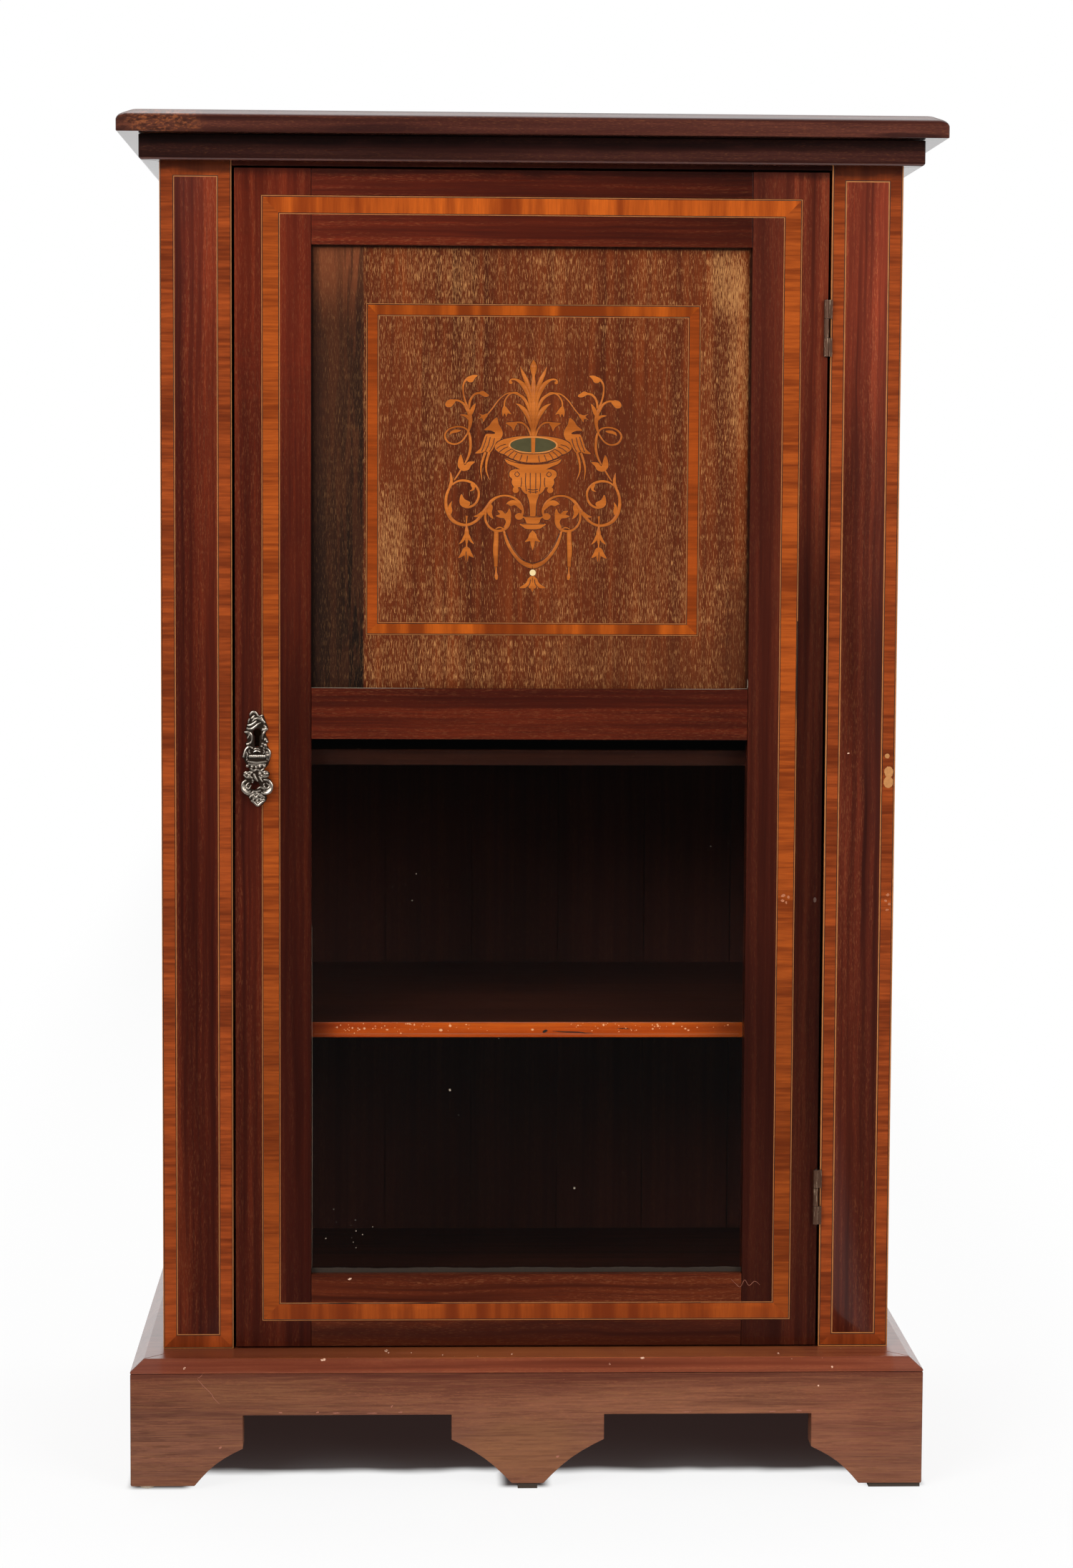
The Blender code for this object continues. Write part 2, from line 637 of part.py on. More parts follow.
def make_sides():
    """The two sides behind the stiles, with a housing for each shelf."""
    bm = bmesh.new()
    reach = SIDE_INNER_X + SHELF_HOUSING
    for top in shelf_tops().values():
        ys = (FRONT_Y + SHELF_SETBACK - FIT, INSIDE_BACK_Y + FIT)
        box(bm, (-reach, reach), ys, (top - SHELF_THICKNESS - FIT, top + FIT))
    housings = cutter("shelf_housings", bm)
    for name, side in (("side_left", -1), ("side_right", 1)):
        bm = bmesh.new()
        xs = sorted((side * SIDE_INNER_X, side * HALF_WIDTH))
        ys = (FRONT_Y + FRAME_THICKNESS + FIT, BACK_Y)
        box(bm, xs, ys, (LEDGE_Z + FIT, UNDER_TOP_Z - FIT))
        combine(finish(name, bm, MAHOGANY), housings)


def make_shelves():
    """Three shelves, each let into both sides."""
    ends = SIDE_INNER_X + SHELF_HOUSING - FIT
    for name, top in shelf_tops().items():
        bm = bmesh.new()
        ys = (FRONT_Y + SHELF_SETBACK, INSIDE_BACK_Y)
        box(bm, (-ends, ends), ys, (top - SHELF_THICKNESS, top))
        finish(name, bm, SHELF_WOOD)


def make_inside_boards():
    """Bottom, sub-top, top rail and the stop that the door closes against."""
    across = (FIT - SIDE_INNER_X, SIDE_INNER_X - FIT)
    low = LEDGE_Z + FIT
    high = UNDER_TOP_Z - FIT
    under = high - SUBTOP_THICKNESS
    rail_x = STILE_INNER_X - FIT
    stop_x = STILE_INNER_X - DOOR_STOP_INSET
    stop_y = DOOR_BACK_Y + DOOR_STOP_GAP
    rail_back = FRONT_Y + FRAME_THICKNESS
    bottom_ys = (FRONT_Y + BOTTOM_SETBACK, INSIDE_BACK_Y)
    boards = {
        "bottom_board": (across, bottom_ys, (low, low + BOTTOM_THICKNESS), CARCASS_WOOD),
        "carcass_top": (across, (rail_back + FIT, INSIDE_BACK_Y), (under, high), CARCASS_WOOD),
        "top_rail": (
            (-rail_x, rail_x), (FRONT_Y, rail_back), (UNDER_TOP_Z - TOP_RAIL_DROP, high), MAHOGANY,
        ),
        "door_stop": (
            (-stop_x, stop_x), (stop_y, stop_y + DOOR_STOP_DEPTH),
            (under - FIT - DOOR_STOP_DROP, under - FIT), CARCASS_WOOD,
        ),
    }
    for name, (xs, ys, zs, spec) in boards.items():
        bm = bmesh.new()
        box(bm, xs, ys, zs)
        finish(name, bm, spec)


def make_back():
    """The back, of upright boards glued edge to edge, with a groove down each joint on both faces."""
    half = SIDE_INNER_X - FIT
    zs = (LEDGE_Z + FIT, UNDER_TOP_Z - FIT)
    bm = bmesh.new()
    box(bm, (-half, half), (BACK_Y - BACK_THICKNESS, BACK_Y), zs)
    back = finish("back_panel", bm, CARCASS_WOOD)
    bm = bmesh.new()
    inner_ys = (BACK_Y - BACK_THICKNESS - OVERRUN, BACK_Y - BACK_THICKNESS + BACK_JOINT_DEPTH)
    outer_ys = (BACK_Y - BACK_JOINT_DEPTH, BACK_Y + OVERRUN)
    for joint in range(1, BACK_BOARD_COUNT):
        middle = half * (2 * joint / BACK_BOARD_COUNT - 1)
        xs = (middle - BACK_JOINT_WIDTH / 2, middle + BACK_JOINT_WIDTH / 2)
        for ys in (inner_ys, outer_ys):
            box(bm, xs, ys, (zs[0] - OVERRUN, zs[1] + OVERRUN))
    combine(back, cutter("back_joints", bm))


def make_top():
    """The top board, bevelled on three sides, and the cornice under it."""
    half = HALF_WIDTH + TOP_OVERHANG
    front = FRONT_Y - TOP_OVERHANG
    rings = []
    for level, draw in ((0, 0), (TOP_EDGE, 0), (TOP_EDGE + TOP_BEVEL_RISE, TOP_BEVEL_RUN)):
        z = UNDER_TOP_Z + level
        x = half - draw
        y = front + draw
        rings.append(((-x, y, z), (x, y, z), (x, BACK_Y, z), (-x, BACK_Y, z)))
    bm = bmesh.new()
    loft(bm, rings)
    finish("top_board", bm, MAHOGANY)
    high = UNDER_TOP_Z - FIT
    reach = CORNICE_PROJECTION - FIT
    profile = (
        (0, CORNICE_Z + CORNICE_CHAMFER),
        (0, high),
        (reach, high),
        (reach, CORNICE_Z),
        (CORNICE_CHAMFER, CORNICE_Z),
    )
    names = ("cornice_front", "cornice_left", "cornice_right")
    outer_x = HALF_WIDTH + CORNICE_PROJECTION
    front_and_sides(names, profile, outer_x, FRONT_Y - CORNICE_PROJECTION, MAHOGANY)


# Door


def opening_rects():
    """The upper and the lower opening of the door, as seen from the front."""
    upper = (-OPENING_X, OPENING_X, UPPER_OPENING_LOW_Z, UPPER_OPENING_HIGH_Z)
    lower = (-OPENING_X, OPENING_X, LOWER_OPENING_LOW_Z, LOWER_OPENING_HIGH_Z)
    return upper, lower


def inlaid_ring(name, rect, width, face_y, hang):
    """A frame of banding flush with a face, and the cutter for its groove."""
    bm = bmesh.new()
    outer = inset(rect, FIT)
    frame_prism(bm, outer, inset(rect, width - FIT), face_y, face_y + INLAY_THICKNESS)
    ring = finish(name, bm, SATINWOOD, hang)
    bm = bmesh.new()
    frame_prism(bm, rect, inset(rect, width), face_y - OVERRUN, face_y + GROOVE_DEPTH)
    return ring, cutter(name + "_groove", bm)


def make_door_frame(hang):
    """Two stiles and three rails, rebated behind."""
    ys = (FRONT_Y, DOOR_BACK_Y)
    inner = OPENING_X
    outer = DOOR_HALF_WIDTH
    rail_xs = (FIT - inner, inner - FIT)
    spans = {
        "door_stile_lock": ((-outer, -inner), (DOOR_LOW_Z, DOOR_HIGH_Z)),
        "door_stile_hinge": ((inner, outer), (DOOR_LOW_Z, DOOR_HIGH_Z)),
        "door_rail_top": (rail_xs, (UPPER_OPENING_HIGH_Z, DOOR_HIGH_Z)),
        "door_rail_middle": (rail_xs, (LOWER_OPENING_HIGH_Z, UPPER_OPENING_LOW_Z)),
        "door_rail_bottom": (rail_xs, (DOOR_LOW_Z, LOWER_OPENING_LOW_Z)),
    }
    bm = bmesh.new()
    for rect in opening_rects():
        x0, x1, z0, z1 = inset(rect, -REBATE_WIDTH)
        box(bm, (x0, x1), (FRONT_Y + REBATE_LIP, DOOR_BACK_Y + OVERRUN), (z0, z1))
    rebates = cutter("door_rebates", bm)
    members = {}
    for name, (xs, zs) in spans.items():
        bm = bmesh.new()
        box(bm, xs, ys, zs)
        members[name] = finish(name, bm, MAHOGANY, hang)
        combine(members[name], rebates)
    return members


def make_door_banding(members, hang):
    """The banding let into the door frame, which the middle rail stays clear of."""
    door = (-DOOR_HALF_WIDTH, DOOR_HALF_WIDTH, DOOR_LOW_Z, DOOR_HIGH_Z)
    rect = inset(door, DOOR_BANDING_MARGIN)
    ring, groove = inlaid_ring("door_banding", rect, DOOR_BANDING, FRONT_Y, hang)
    for name, member in members.items():
        if name != "door_rail_middle":
            combine(member, groove)
    return ring


def make_fillings(hang):
    """The panel and the glass, with the beads that hold them in their rebates."""
    upper, lower = opening_rects()
    fillings = (
        ("door_panel", "panel_bead", upper, PANEL_THICKNESS, FADED_MAHOGANY),
        ("glass_pane", "glazing_bead", lower, GLASS_THICKNESS, GLASS),
    )
    made = {}
    for name, bead_name, rect, thickness, spec in fillings:
        seat = inset(rect, FIT - REBATE_WIDTH)
        bm = bmesh.new()
        box(bm, seat[:2], (PANEL_FACE_Y, PANEL_FACE_Y + thickness), seat[2:])
        made[name] = finish(name, bm, spec, hang)
        bm = bmesh.new()
        bead_ys = (PANEL_FACE_Y + thickness + FIT, DOOR_BACK_Y - BEAD_SETBACK)
        frame_prism(bm, seat, rect, *bead_ys)
        finish(bead_name, bm, MAHOGANY, hang)
    return made["door_panel"]


def square_point(share):
    """A place on the panel, from its shares of half the square."""
    return (
        PANEL_SQUARE_RIGHT + share[0] * PANEL_SQUARE_HALF_WIDTH,
        PANEL_SQUARE_Z + share[1] * PANEL_SQUARE_HALF_HEIGHT,
    )


def smooth_through(points, steps):
    """Points on a smooth curve through the given ones."""
    points = [Vector(point) for point in points]
    ends = [2 * points[0] - points[1], *points, 2 * points[-1] - points[-2]]
    curve = []
    for before, start, end, after in zip(ends, ends[1:], ends[2:], ends[3:]):
        for step in range(steps):
            t = step / steps
            bend = 2 * before - 5 * start + 4 * end - after
            twist = 3 * start - before - 3 * end + after
            curve.append(start + ((end - before) * t + bend * t ** 2 + twist * t ** 3) / 2)
    return [*curve, points[-1]]


def ribbon_outline(centre_line, width, end_share):
    """The outline of a ribbon that tapers to both ends of its centre line."""
    last = len(centre_line) - 1
    near = []
    far = []
    for index, point in enumerate(centre_line):
        along = centre_line[min(index + 1, last)] - centre_line[max(index - 1, 0)]
        across = along.orthogonal().normalized()
        fullness = end_share + (1 - end_share) * math.sin(math.pi * index / last)
        near.append(tuple(point + across * width * fullness / 2))
        far.append(tuple(point - across * width * fullness / 2))
    return near + far[::-1]


def make_marquetry(hang):
    """The urn with its spear and pendant, and the long scroll on each side of it."""
    ys = (PANEL_FACE_Y - FIT - MARQUETRY_THICKNESS, PANEL_FACE_Y - FIT)
    outline = [square_point(share) for share in URN_SHARES]
    outline += [square_point((-x, z)) for x, z in URN_SHARES[::-1] if x > 0]
    bm = bmesh.new()
    prism(bm, outline, "y", *ys)
    finish("marquetry_urn", bm, BOXWOOD, hang)
    for name, side in (("marquetry_scroll_left", -1), ("marquetry_scroll_right", 1)):
        route = [square_point((side * x, z)) for x, z in SCROLL_SHARES]
        centre_line = smooth_through(route, SCROLL_STEPS)
        bm = bmesh.new()
        prism(bm, ribbon_outline(centre_line, SCROLL_WIDTH, SCROLL_END_SHARE), "y", *ys)
        finish(name, bm, BOXWOOD, hang)


def make_panel_banding(hang, panel):
    """The square of banding let into the panel."""
    left, low = square_point((-1, -1))
    right, high = square_point((1, 1))
    rect = (left, right, low, high)
    ring, groove = inlaid_ring("panel_banding", rect, PANEL_BANDING, PANEL_FACE_Y, hang)
    combine(panel, groove)


# Hinges


def knuckle_spans(middle, on_door):
    """The lowest and highest point of a leaf's knuckles: the middle one is on the door."""
    pitch = HINGE_HEIGHT / HINGE_KNUCKLE_COUNT
    low = middle - HINGE_HEIGHT / 2
    spans = []
    for index in range(HINGE_KNUCKLE_COUNT):
        if (index % 2 == 1) == on_door:
            spans.append((low + index * pitch + FIT / 2, low + (index + 1) * pitch - FIT / 2))
    return spans


def leaf_xs(on_door):
    """Where a leaf lies across the joint between the door and the stile."""
    if on_door:
        face = DOOR_HALF_WIDTH + LEAF_PROUD
        return face - LEAF_THICKNESS, face
    face = STILE_INNER_X - LEAF_PROUD
    return face, face + LEAF_THICKNESS


def leaf_seat(name, middle, on_door):
    """A cutter for the recess that a leaf lies in, open to the front."""
    low, high = leaf_xs(on_door)
    xs = (low - FIT, high + OVERRUN) if on_door else (low - OVERRUN, high + FIT)
    half = HINGE_HEIGHT / 2 + FIT
    bm = bmesh.new()
    box(bm, xs, (FRONT_Y - OVERRUN, FRONT_Y + LEAF_WIDTH + FIT), (middle - half, middle + half))
    return cutter(name, bm)


def hinge_screws(draw, middle, on_door):
    """A bmesh, in triangles, of a leaf's screws or their holes, as the drawing function makes them."""
    low, high = leaf_xs(on_door)
    face, inward = (high, -1) if on_door else (low, 1)
    first = middle - HINGE_SCREW_PITCH * (HINGE_SCREW_COUNT - 1) / 2
    bm = bmesh.new()
    for index in range(HINGE_SCREW_COUNT):
        centre = (0, FRONT_Y + HINGE_SCREW_BACKSET, first + index * HINGE_SCREW_PITCH)
        draw(bm, "x", centre, face, inward, HINGE_SCREW)
    bmesh.ops.triangulate(bm, faces=bm.faces)
    return bm


def make_leaf(name, middle, on_door, hang):
    """One leaf with its web, knuckles and screws."""
    low, high = leaf_xs(on_door)
    half = HINGE_HEIGHT / 2
    web_front = HINGE_Y - HINGE_WEB_THICKNESS / 2
    web_back = web_front + HINGE_WEB_THICKNESS
    leaf_front = FRONT_Y + FIT
    bm = bmesh.new()
    box(bm, (low, high), (leaf_front, FRONT_Y + LEAF_WIDTH), (middle - half, middle + half))
    leaf = finish(name, bm, BRASS, hang)
    web = bmesh.new()
    knuckles = bmesh.new()
    web_low, web_high = low + FIT, high - FIT
    outline = (
        (HINGE_X, web_front),
        (web_high, web_front),
        (web_high, leaf_front + LEAF_THICKNESS),
        (web_low, leaf_front + LEAF_THICKNESS),
        (web_low, web_back),
        (HINGE_X, web_back),
    )
    for span in knuckle_spans(middle, on_door):
        prism(web, outline, "z", *span)
        rod(knuckles, KNUCKLE_RADIUS, "z", (HINGE_X, HINGE_Y, 0), *span)
    combine(leaf, cutter(name + "_web", web), "UNION")
    combine(leaf, cutter(name + "_knuckles", knuckles), "UNION")
    screws = hinge_screws(fastener, middle, on_door)
    combine(leaf, cutter(name + "_screws", screws), "UNION")
    bm = bmesh.new()
    bore = (middle - half - OVERRUN, middle + half + OVERRUN)
    rod(bm, HINGE_PIN_RADIUS + FIT, "z", (HINGE_X, HINGE_Y, 0), *bore, SMALL_SIDES)
    combine(leaf, cutter(name + "_bore", bm))


def make_hinges(door_stile, frame_stile, frame_banding, hang):
    """Two butt hinges with their pins and screws, let into the door and the stile."""
    middles = {"top": DOOR_HIGH_Z - HINGE_INSET, "bottom": DOOR_LOW_Z + HINGE_INSET}
    for place, middle in middles.items():
        door_name = "hinge_leaf_door_" + place
        frame_name = "hinge_leaf_frame_" + place
        make_leaf(door_name, middle, True, hang)
        make_leaf(frame_name, middle, False, None)
        combine(door_stile, leaf_seat(door_name + "_seat", middle, True))
        frame_seat = leaf_seat(frame_name + "_seat", middle, False)
        combine(frame_stile, frame_seat)
        combine(frame_banding, frame_seat)
        door_holes = hinge_screws(fastener_hole, middle, True)
        combine(door_stile, cutter(door_name + "_holes", door_holes))
        frame_holes = hinge_screws(fastener_hole, middle, False)
        combine(frame_stile, cutter(frame_name + "_holes", frame_holes))
        half = HINGE_HEIGHT / 2
        bm = bmesh.new()
        centre = (HINGE_X, HINGE_Y, 0)
        rod(bm, HINGE_PIN_RADIUS, "z", centre, middle - half, middle + half, SMALL_SIDES)
        finish("hinge_pin_" + place, bm, STEEL, smooth=True)


# Lock


def keyhole_outline():
    """A round hole with a slot below it."""
    half_slot = KEYHOLE_SLOT_WIDTH / 2
    low = KEYHOLE_Z - KEYHOLE_SLOT_DROP
    mouth = math.asin(half_slot / KEYHOLE_RADIUS)
    outline = [(KEYHOLE_X + half_slot, low)]
    for step in range(ROUND_SIDES + 1):
        angle = mouth + (math.tau - 2 * mouth) * step / ROUND_SIDES
        across = KEYHOLE_RADIUS * math.sin(angle)
        outline.append((KEYHOLE_X + across, KEYHOLE_Z - KEYHOLE_RADIUS * math.cos(angle)))
    outline.append((KEYHOLE_X - half_slot, low))
    return outline


def lock_screws(draw):
    """A bmesh of the screws at the case's corners, or of their holes."""
    left = FIT - DOOR_HALF_WIDTH
    bm = bmesh.new()
    for x in (left + LOCK_SCREW_INSET, left + LOCK_WIDTH - LOCK_SCREW_INSET):
        for z in (KEYHOLE_Z + LOCK_RISE - LOCK_SCREW_INSET, KEYHOLE_Z - LOCK_DROP + LOCK_SCREW_INSET):
            draw(bm, "y", (x, 0, z), DOOR_BACK_Y, -1, LOCK_SCREW)
    return bm


def make_lock(lock_stile, banding, hang):
    """The lock in its recess, with its bolt and screws, and the keyhole through the stile."""
    left = FIT - DOOR_HALF_WIDTH
    right = left + LOCK_WIDTH
    front = DOOR_BACK_Y - LOCK_DEPTH
    zs = (KEYHOLE_Z - LOCK_DROP, KEYHOLE_Z + LOCK_RISE)
    bm = bmesh.new()
    seat_ys = (front - FIT, DOOR_BACK_Y + OVERRUN)
    box(bm, (left - OVERRUN, right + FIT), seat_ys, (zs[0] - FIT, zs[1] + FIT))
    combine(lock_stile, cutter("lock_seat", bm))
    combine(lock_stile, cutter("lock_screw_holes", lock_screws(fastener_hole)))
    bm = bmesh.new()
    prism(bm, keyhole_outline(), "y", FRONT_Y - OVERRUN, BOLT_Y)
    key_way = cutter("key_way", bm)
    combine(lock_stile, key_way)
    combine(banding, key_way)
    bm = bmesh.new()
    box(bm, (left, right), (front, DOOR_BACK_Y), zs)
    case = finish("lock_case", bm, BRASS, hang)
    combine(case, cutter("lock_screws", lock_screws(fastener)), "UNION")
    combine(case, key_way)
    bolt_x = LOCK_BOLT_RECESS - DOOR_HALF_WIDTH
    half_y = LOCK_BOLT_THICKNESS / 2
    half_z = LOCK_BOLT_HEIGHT / 2
    bolt = pivot_at("lock_bolt_slide", (bolt_x, BOLT_Y, BOLT_Z))
    for name, slack in (("lock_bolt", 0), ("lock_bolt_slot", FIT)):
        start = bolt_x - (OVERRUN if slack else 0)
        xs = (start, bolt_x + LOCK_BOLT_LENGTH + slack)
        ys = (BOLT_Y - half_y - slack, BOLT_Y + half_y + slack)
        bm = bmesh.new()
        box(bm, xs, ys, (BOLT_Z - half_z - slack, BOLT_Z + half_z + slack))
        if slack:
            combine(case, cutter(name, bm))
        else:
            finish(name, bm, BRASS, bolt)


def strike_screws(draw):
    """A bmesh of the strike plate's two screws, or of their holes."""
    bm = bmesh.new()
    for side in (-1, 1):
        centre = (0, BOLT_Y, BOLT_Z + side * STRIKE_SCREW_PITCH / 2)
        draw(bm, "x", centre, -STILE_INNER_X, -1, STRIKE_SCREW)
    return bm


def make_strike(frame_stile):
    """A plate let into the left stile's edge, with the hole that the bolt enters."""
    face = -STILE_INNER_X
    half_y = STRIKE_WIDTH / 2
    half_z = STRIKE_HEIGHT / 2
    ys = (BOLT_Y - half_y, BOLT_Y + half_y)
    bm = bmesh.new()
    box(bm, (face - STRIKE_THICKNESS, face), ys, (BOLT_Z - half_z, BOLT_Z + half_z))
    strike = finish("strike_plate", bm, BRASS)
    combine(strike, cutter("strike_screws", strike_screws(fastener)), "UNION")
    bm = bmesh.new()
    seat_xs = (face - STRIKE_THICKNESS - FIT, face + OVERRUN)
    seat_zs = (BOLT_Z - half_z - FIT, BOLT_Z + half_z + FIT)
    box(bm, seat_xs, (ys[0] - FIT, ys[1] + FIT), seat_zs)
    combine(frame_stile, cutter("strike_seat", bm))
    combine(frame_stile, cutter("strike_screw_holes", strike_screws(fastener_hole)))
    bolt_half_y = LOCK_BOLT_THICKNESS / 2 + 2 * FIT
    bolt_half_z = LOCK_BOLT_HEIGHT / 2 + 2 * FIT
    bolt_ys = (BOLT_Y - bolt_half_y, BOLT_Y + bolt_half_y)
    reach = LOCK_BOLT_TRAVEL + STRIKE_POCKET
    bm = bmesh.new()
    box(bm, (face - reach, face + OVERRUN), bolt_ys, (BOLT_Z - bolt_half_z, BOLT_Z + bolt_half_z))
    pocket = cutter("bolt_pocket", bm)
    combine(frame_stile, pocket)
    combine(strike, pocket)


# Keyhole plate and pull


def mirrored(half):
    """A half outline from top to bottom, closed by its mirror image about the keyhole's axis."""
    right = [(KEYHOLE_X + x, z) for x, z in half]
    left = [(KEYHOLE_X - x, z) for x, z in half[::-1] if x > 0]
    return right + left


def plate_outline():
    """The lobed outline of the keyhole plate."""
    half = [(PLATE_HALF_WIDTH * x, KEYHOLE_Z + PLATE_RISE * z) for x, z in PLATE_UPPER_SHARES]
    half += [(PLATE_HALF_WIDTH * x, KEYHOLE_Z - PLATE_DROP * z) for x, z in PLATE_LOWER_SHARES]
    return mirrored(half)


def plate_nails(draw):
    """A bmesh of the plate's three nails, or of their holes."""
    bm = bmesh.new()
    for across, up in NAIL_PLACE_SHARES:
        centre = (KEYHOLE_X + across * PLATE_HALF_WIDTH, 0, KEYHOLE_Z + up * PLATE_RISE)
        draw(bm, "y", centre, PLATE_BACK_Y - PLATE_THICKNESS, 1, PLATE_NAIL)
    return bm


def make_keyhole_plate(lock_stile, banding, hang):
    """The cast plate with its two ears and its nails."""
    front = PLATE_BACK_Y - PLATE_THICKNESS
    bm = bmesh.new()
    prism(bm, plate_outline(), "y", front, PLATE_BACK_Y)
    plate = finish("escutcheon", bm, NICKEL, hang)
    bm = bmesh.new()
    outline = (
        (front + PLATE_THICKNESS / 2, PULL_Z - EAR_RADIUS),
        (PULL_Y - EAR_RADIUS, PULL_Z - EAR_RADIUS / 2),
        (PULL_Y - EAR_RADIUS, PULL_Z + EAR_RADIUS / 2),
        (front + PLATE_THICKNESS / 2, PULL_Z + EAR_RADIUS),
    )
    for side in (-1, 1):
        middle = KEYHOLE_X + side * EAR_SPACING / 2
        prism(bm, outline, "x", middle - EAR_WIDTH / 2, middle + EAR_WIDTH / 2)
    combine(plate, cutter("plate_ears", bm), "UNION")
    combine(plate, cutter("plate_nails", plate_nails(fastener)), "UNION")
    bm = bmesh.new()
    prism(bm, keyhole_outline(), "y", front - OVERRUN, PLATE_BACK_Y + OVERRUN)
    combine(plate, cutter("plate_keyhole", bm))
    bm = bmesh.new()
    reach = EAR_SPACING / 2 + EAR_WIDTH
    centre = (0, PULL_Y, PULL_Z)
    rod(bm, PULL_PIN_RADIUS + FIT, "x", centre, KEYHOLE_X - reach, KEYHOLE_X + reach, SMALL_SIDES)
    combine(plate, cutter("plate_ear_bore", bm))
    holes = cutter("nail_holes", plate_nails(fastener_hole))
    combine(lock_stile, holes)
    combine(banding, holes)
    bm = bmesh.new()
    half = EAR_SPACING / 2 + EAR_WIDTH / 2
    rod(bm, PULL_PIN_RADIUS, "x", centre, KEYHOLE_X - half, KEYHOLE_X + half, SMALL_SIDES)
    finish("pull_pin", bm, STEEL, hang)


def make_pull():
    """The drop pull, which hangs on its pin."""
    swing = pivot_at("drop_pull_axis", (KEYHOLE_X, PULL_Y, PULL_Z))
    half = [(PULL_HALF_WIDTH * x, PULL_Z - PULL_LENGTH * z) for x, z in PULL_SHARES]
    bm = bmesh.new()
    prism(bm, mirrored(half), "y", PULL_Y - PULL_THICKNESS / 2, PULL_Y + PULL_THICKNESS / 2)
    pull = finish("drop_pull", bm, NICKEL, swing)
    centre = (0, PULL_Y, PULL_Z)
    across = (EAR_SPACING - EAR_WIDTH) / 2 - FIT
    bm = bmesh.new()
    rod(bm, PULL_BARREL_RADIUS, "x", centre, KEYHOLE_X - across, KEYHOLE_X + across)
    combine(pull, cutter("pull_barrel", bm), "UNION")
    bm = bmesh.new()
    bore = (KEYHOLE_X - EAR_SPACING, KEYHOLE_X + EAR_SPACING)
    rod(bm, PULL_PIN_RADIUS + FIT, "x", centre, *bore, SMALL_SIDES)
    combine(pull, cutter("pull_bore", bm))


def main():
    """Builds the whole cabinet in an empty scene."""
    for thing in list(bpy.data.objects):
        bpy.data.objects.remove(thing, do_unlink=True)
    make_plinth()
    make_base_cap()
    make_corner_blocks()
    make_feet()
    stile_left = make_stile("stile_left", -1)
    stile_right = make_stile("stile_right", 1)
    make_stile_banding("stile_banding_left", -1)
    banding_right = make_stile_banding("stile_banding_right", 1)
    make_sides()
    make_shelves()
    make_inside_boards()
    make_back()
    make_top()
    hang = pivot_at("door_hinge_axis", (HINGE_X, HINGE_Y, DOOR_LOW_Z))
    members = make_door_frame(hang)
    door_banding = make_door_banding(members, hang)
    make_panel_banding(hang, make_fillings(hang))
    make_marquetry(hang)
    make_hinges(members["door_stile_hinge"], stile_right, banding_right, hang)
    make_lock(members["door_stile_lock"], door_banding, hang)
    make_strike(stile_left)
    make_keyhole_plate(members["door_stile_lock"], door_banding, hang)
    make_pull()


main()
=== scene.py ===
import json
import math

import bmesh
import bpy
from mathutils import Matrix, Vector

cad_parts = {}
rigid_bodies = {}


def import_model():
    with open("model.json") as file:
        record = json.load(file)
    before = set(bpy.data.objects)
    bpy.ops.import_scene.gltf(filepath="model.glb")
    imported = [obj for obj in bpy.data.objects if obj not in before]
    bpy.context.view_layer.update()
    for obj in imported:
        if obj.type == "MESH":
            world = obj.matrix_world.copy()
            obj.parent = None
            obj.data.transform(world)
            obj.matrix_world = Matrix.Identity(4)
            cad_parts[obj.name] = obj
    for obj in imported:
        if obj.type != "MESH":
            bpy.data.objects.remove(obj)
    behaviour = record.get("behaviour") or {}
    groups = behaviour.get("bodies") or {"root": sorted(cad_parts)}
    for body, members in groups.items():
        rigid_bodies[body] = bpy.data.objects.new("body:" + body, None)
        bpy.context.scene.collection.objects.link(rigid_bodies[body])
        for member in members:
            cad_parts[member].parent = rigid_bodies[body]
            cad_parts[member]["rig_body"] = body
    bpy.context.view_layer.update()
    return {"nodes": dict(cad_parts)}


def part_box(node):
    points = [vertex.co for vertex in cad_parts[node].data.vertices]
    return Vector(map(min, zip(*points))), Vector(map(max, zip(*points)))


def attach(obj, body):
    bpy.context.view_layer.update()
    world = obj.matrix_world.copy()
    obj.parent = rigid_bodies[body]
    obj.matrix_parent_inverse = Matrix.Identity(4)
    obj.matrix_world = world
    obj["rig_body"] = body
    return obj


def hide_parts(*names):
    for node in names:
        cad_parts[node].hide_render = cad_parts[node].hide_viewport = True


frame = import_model()
nodes = frame["nodes"]
print("frame:", len(nodes), "nodes")

mm = 0.001


def linear(red, green, blue):
    # a colour as a screen shows it, 0 to 255, turned into light
    parts = [channel / 255 for channel in (red, green, blue)]
    return tuple(p / 12.92 if p < 0.04045 else ((p + 0.055) / 1.055) ** 2.4 for p in parts)


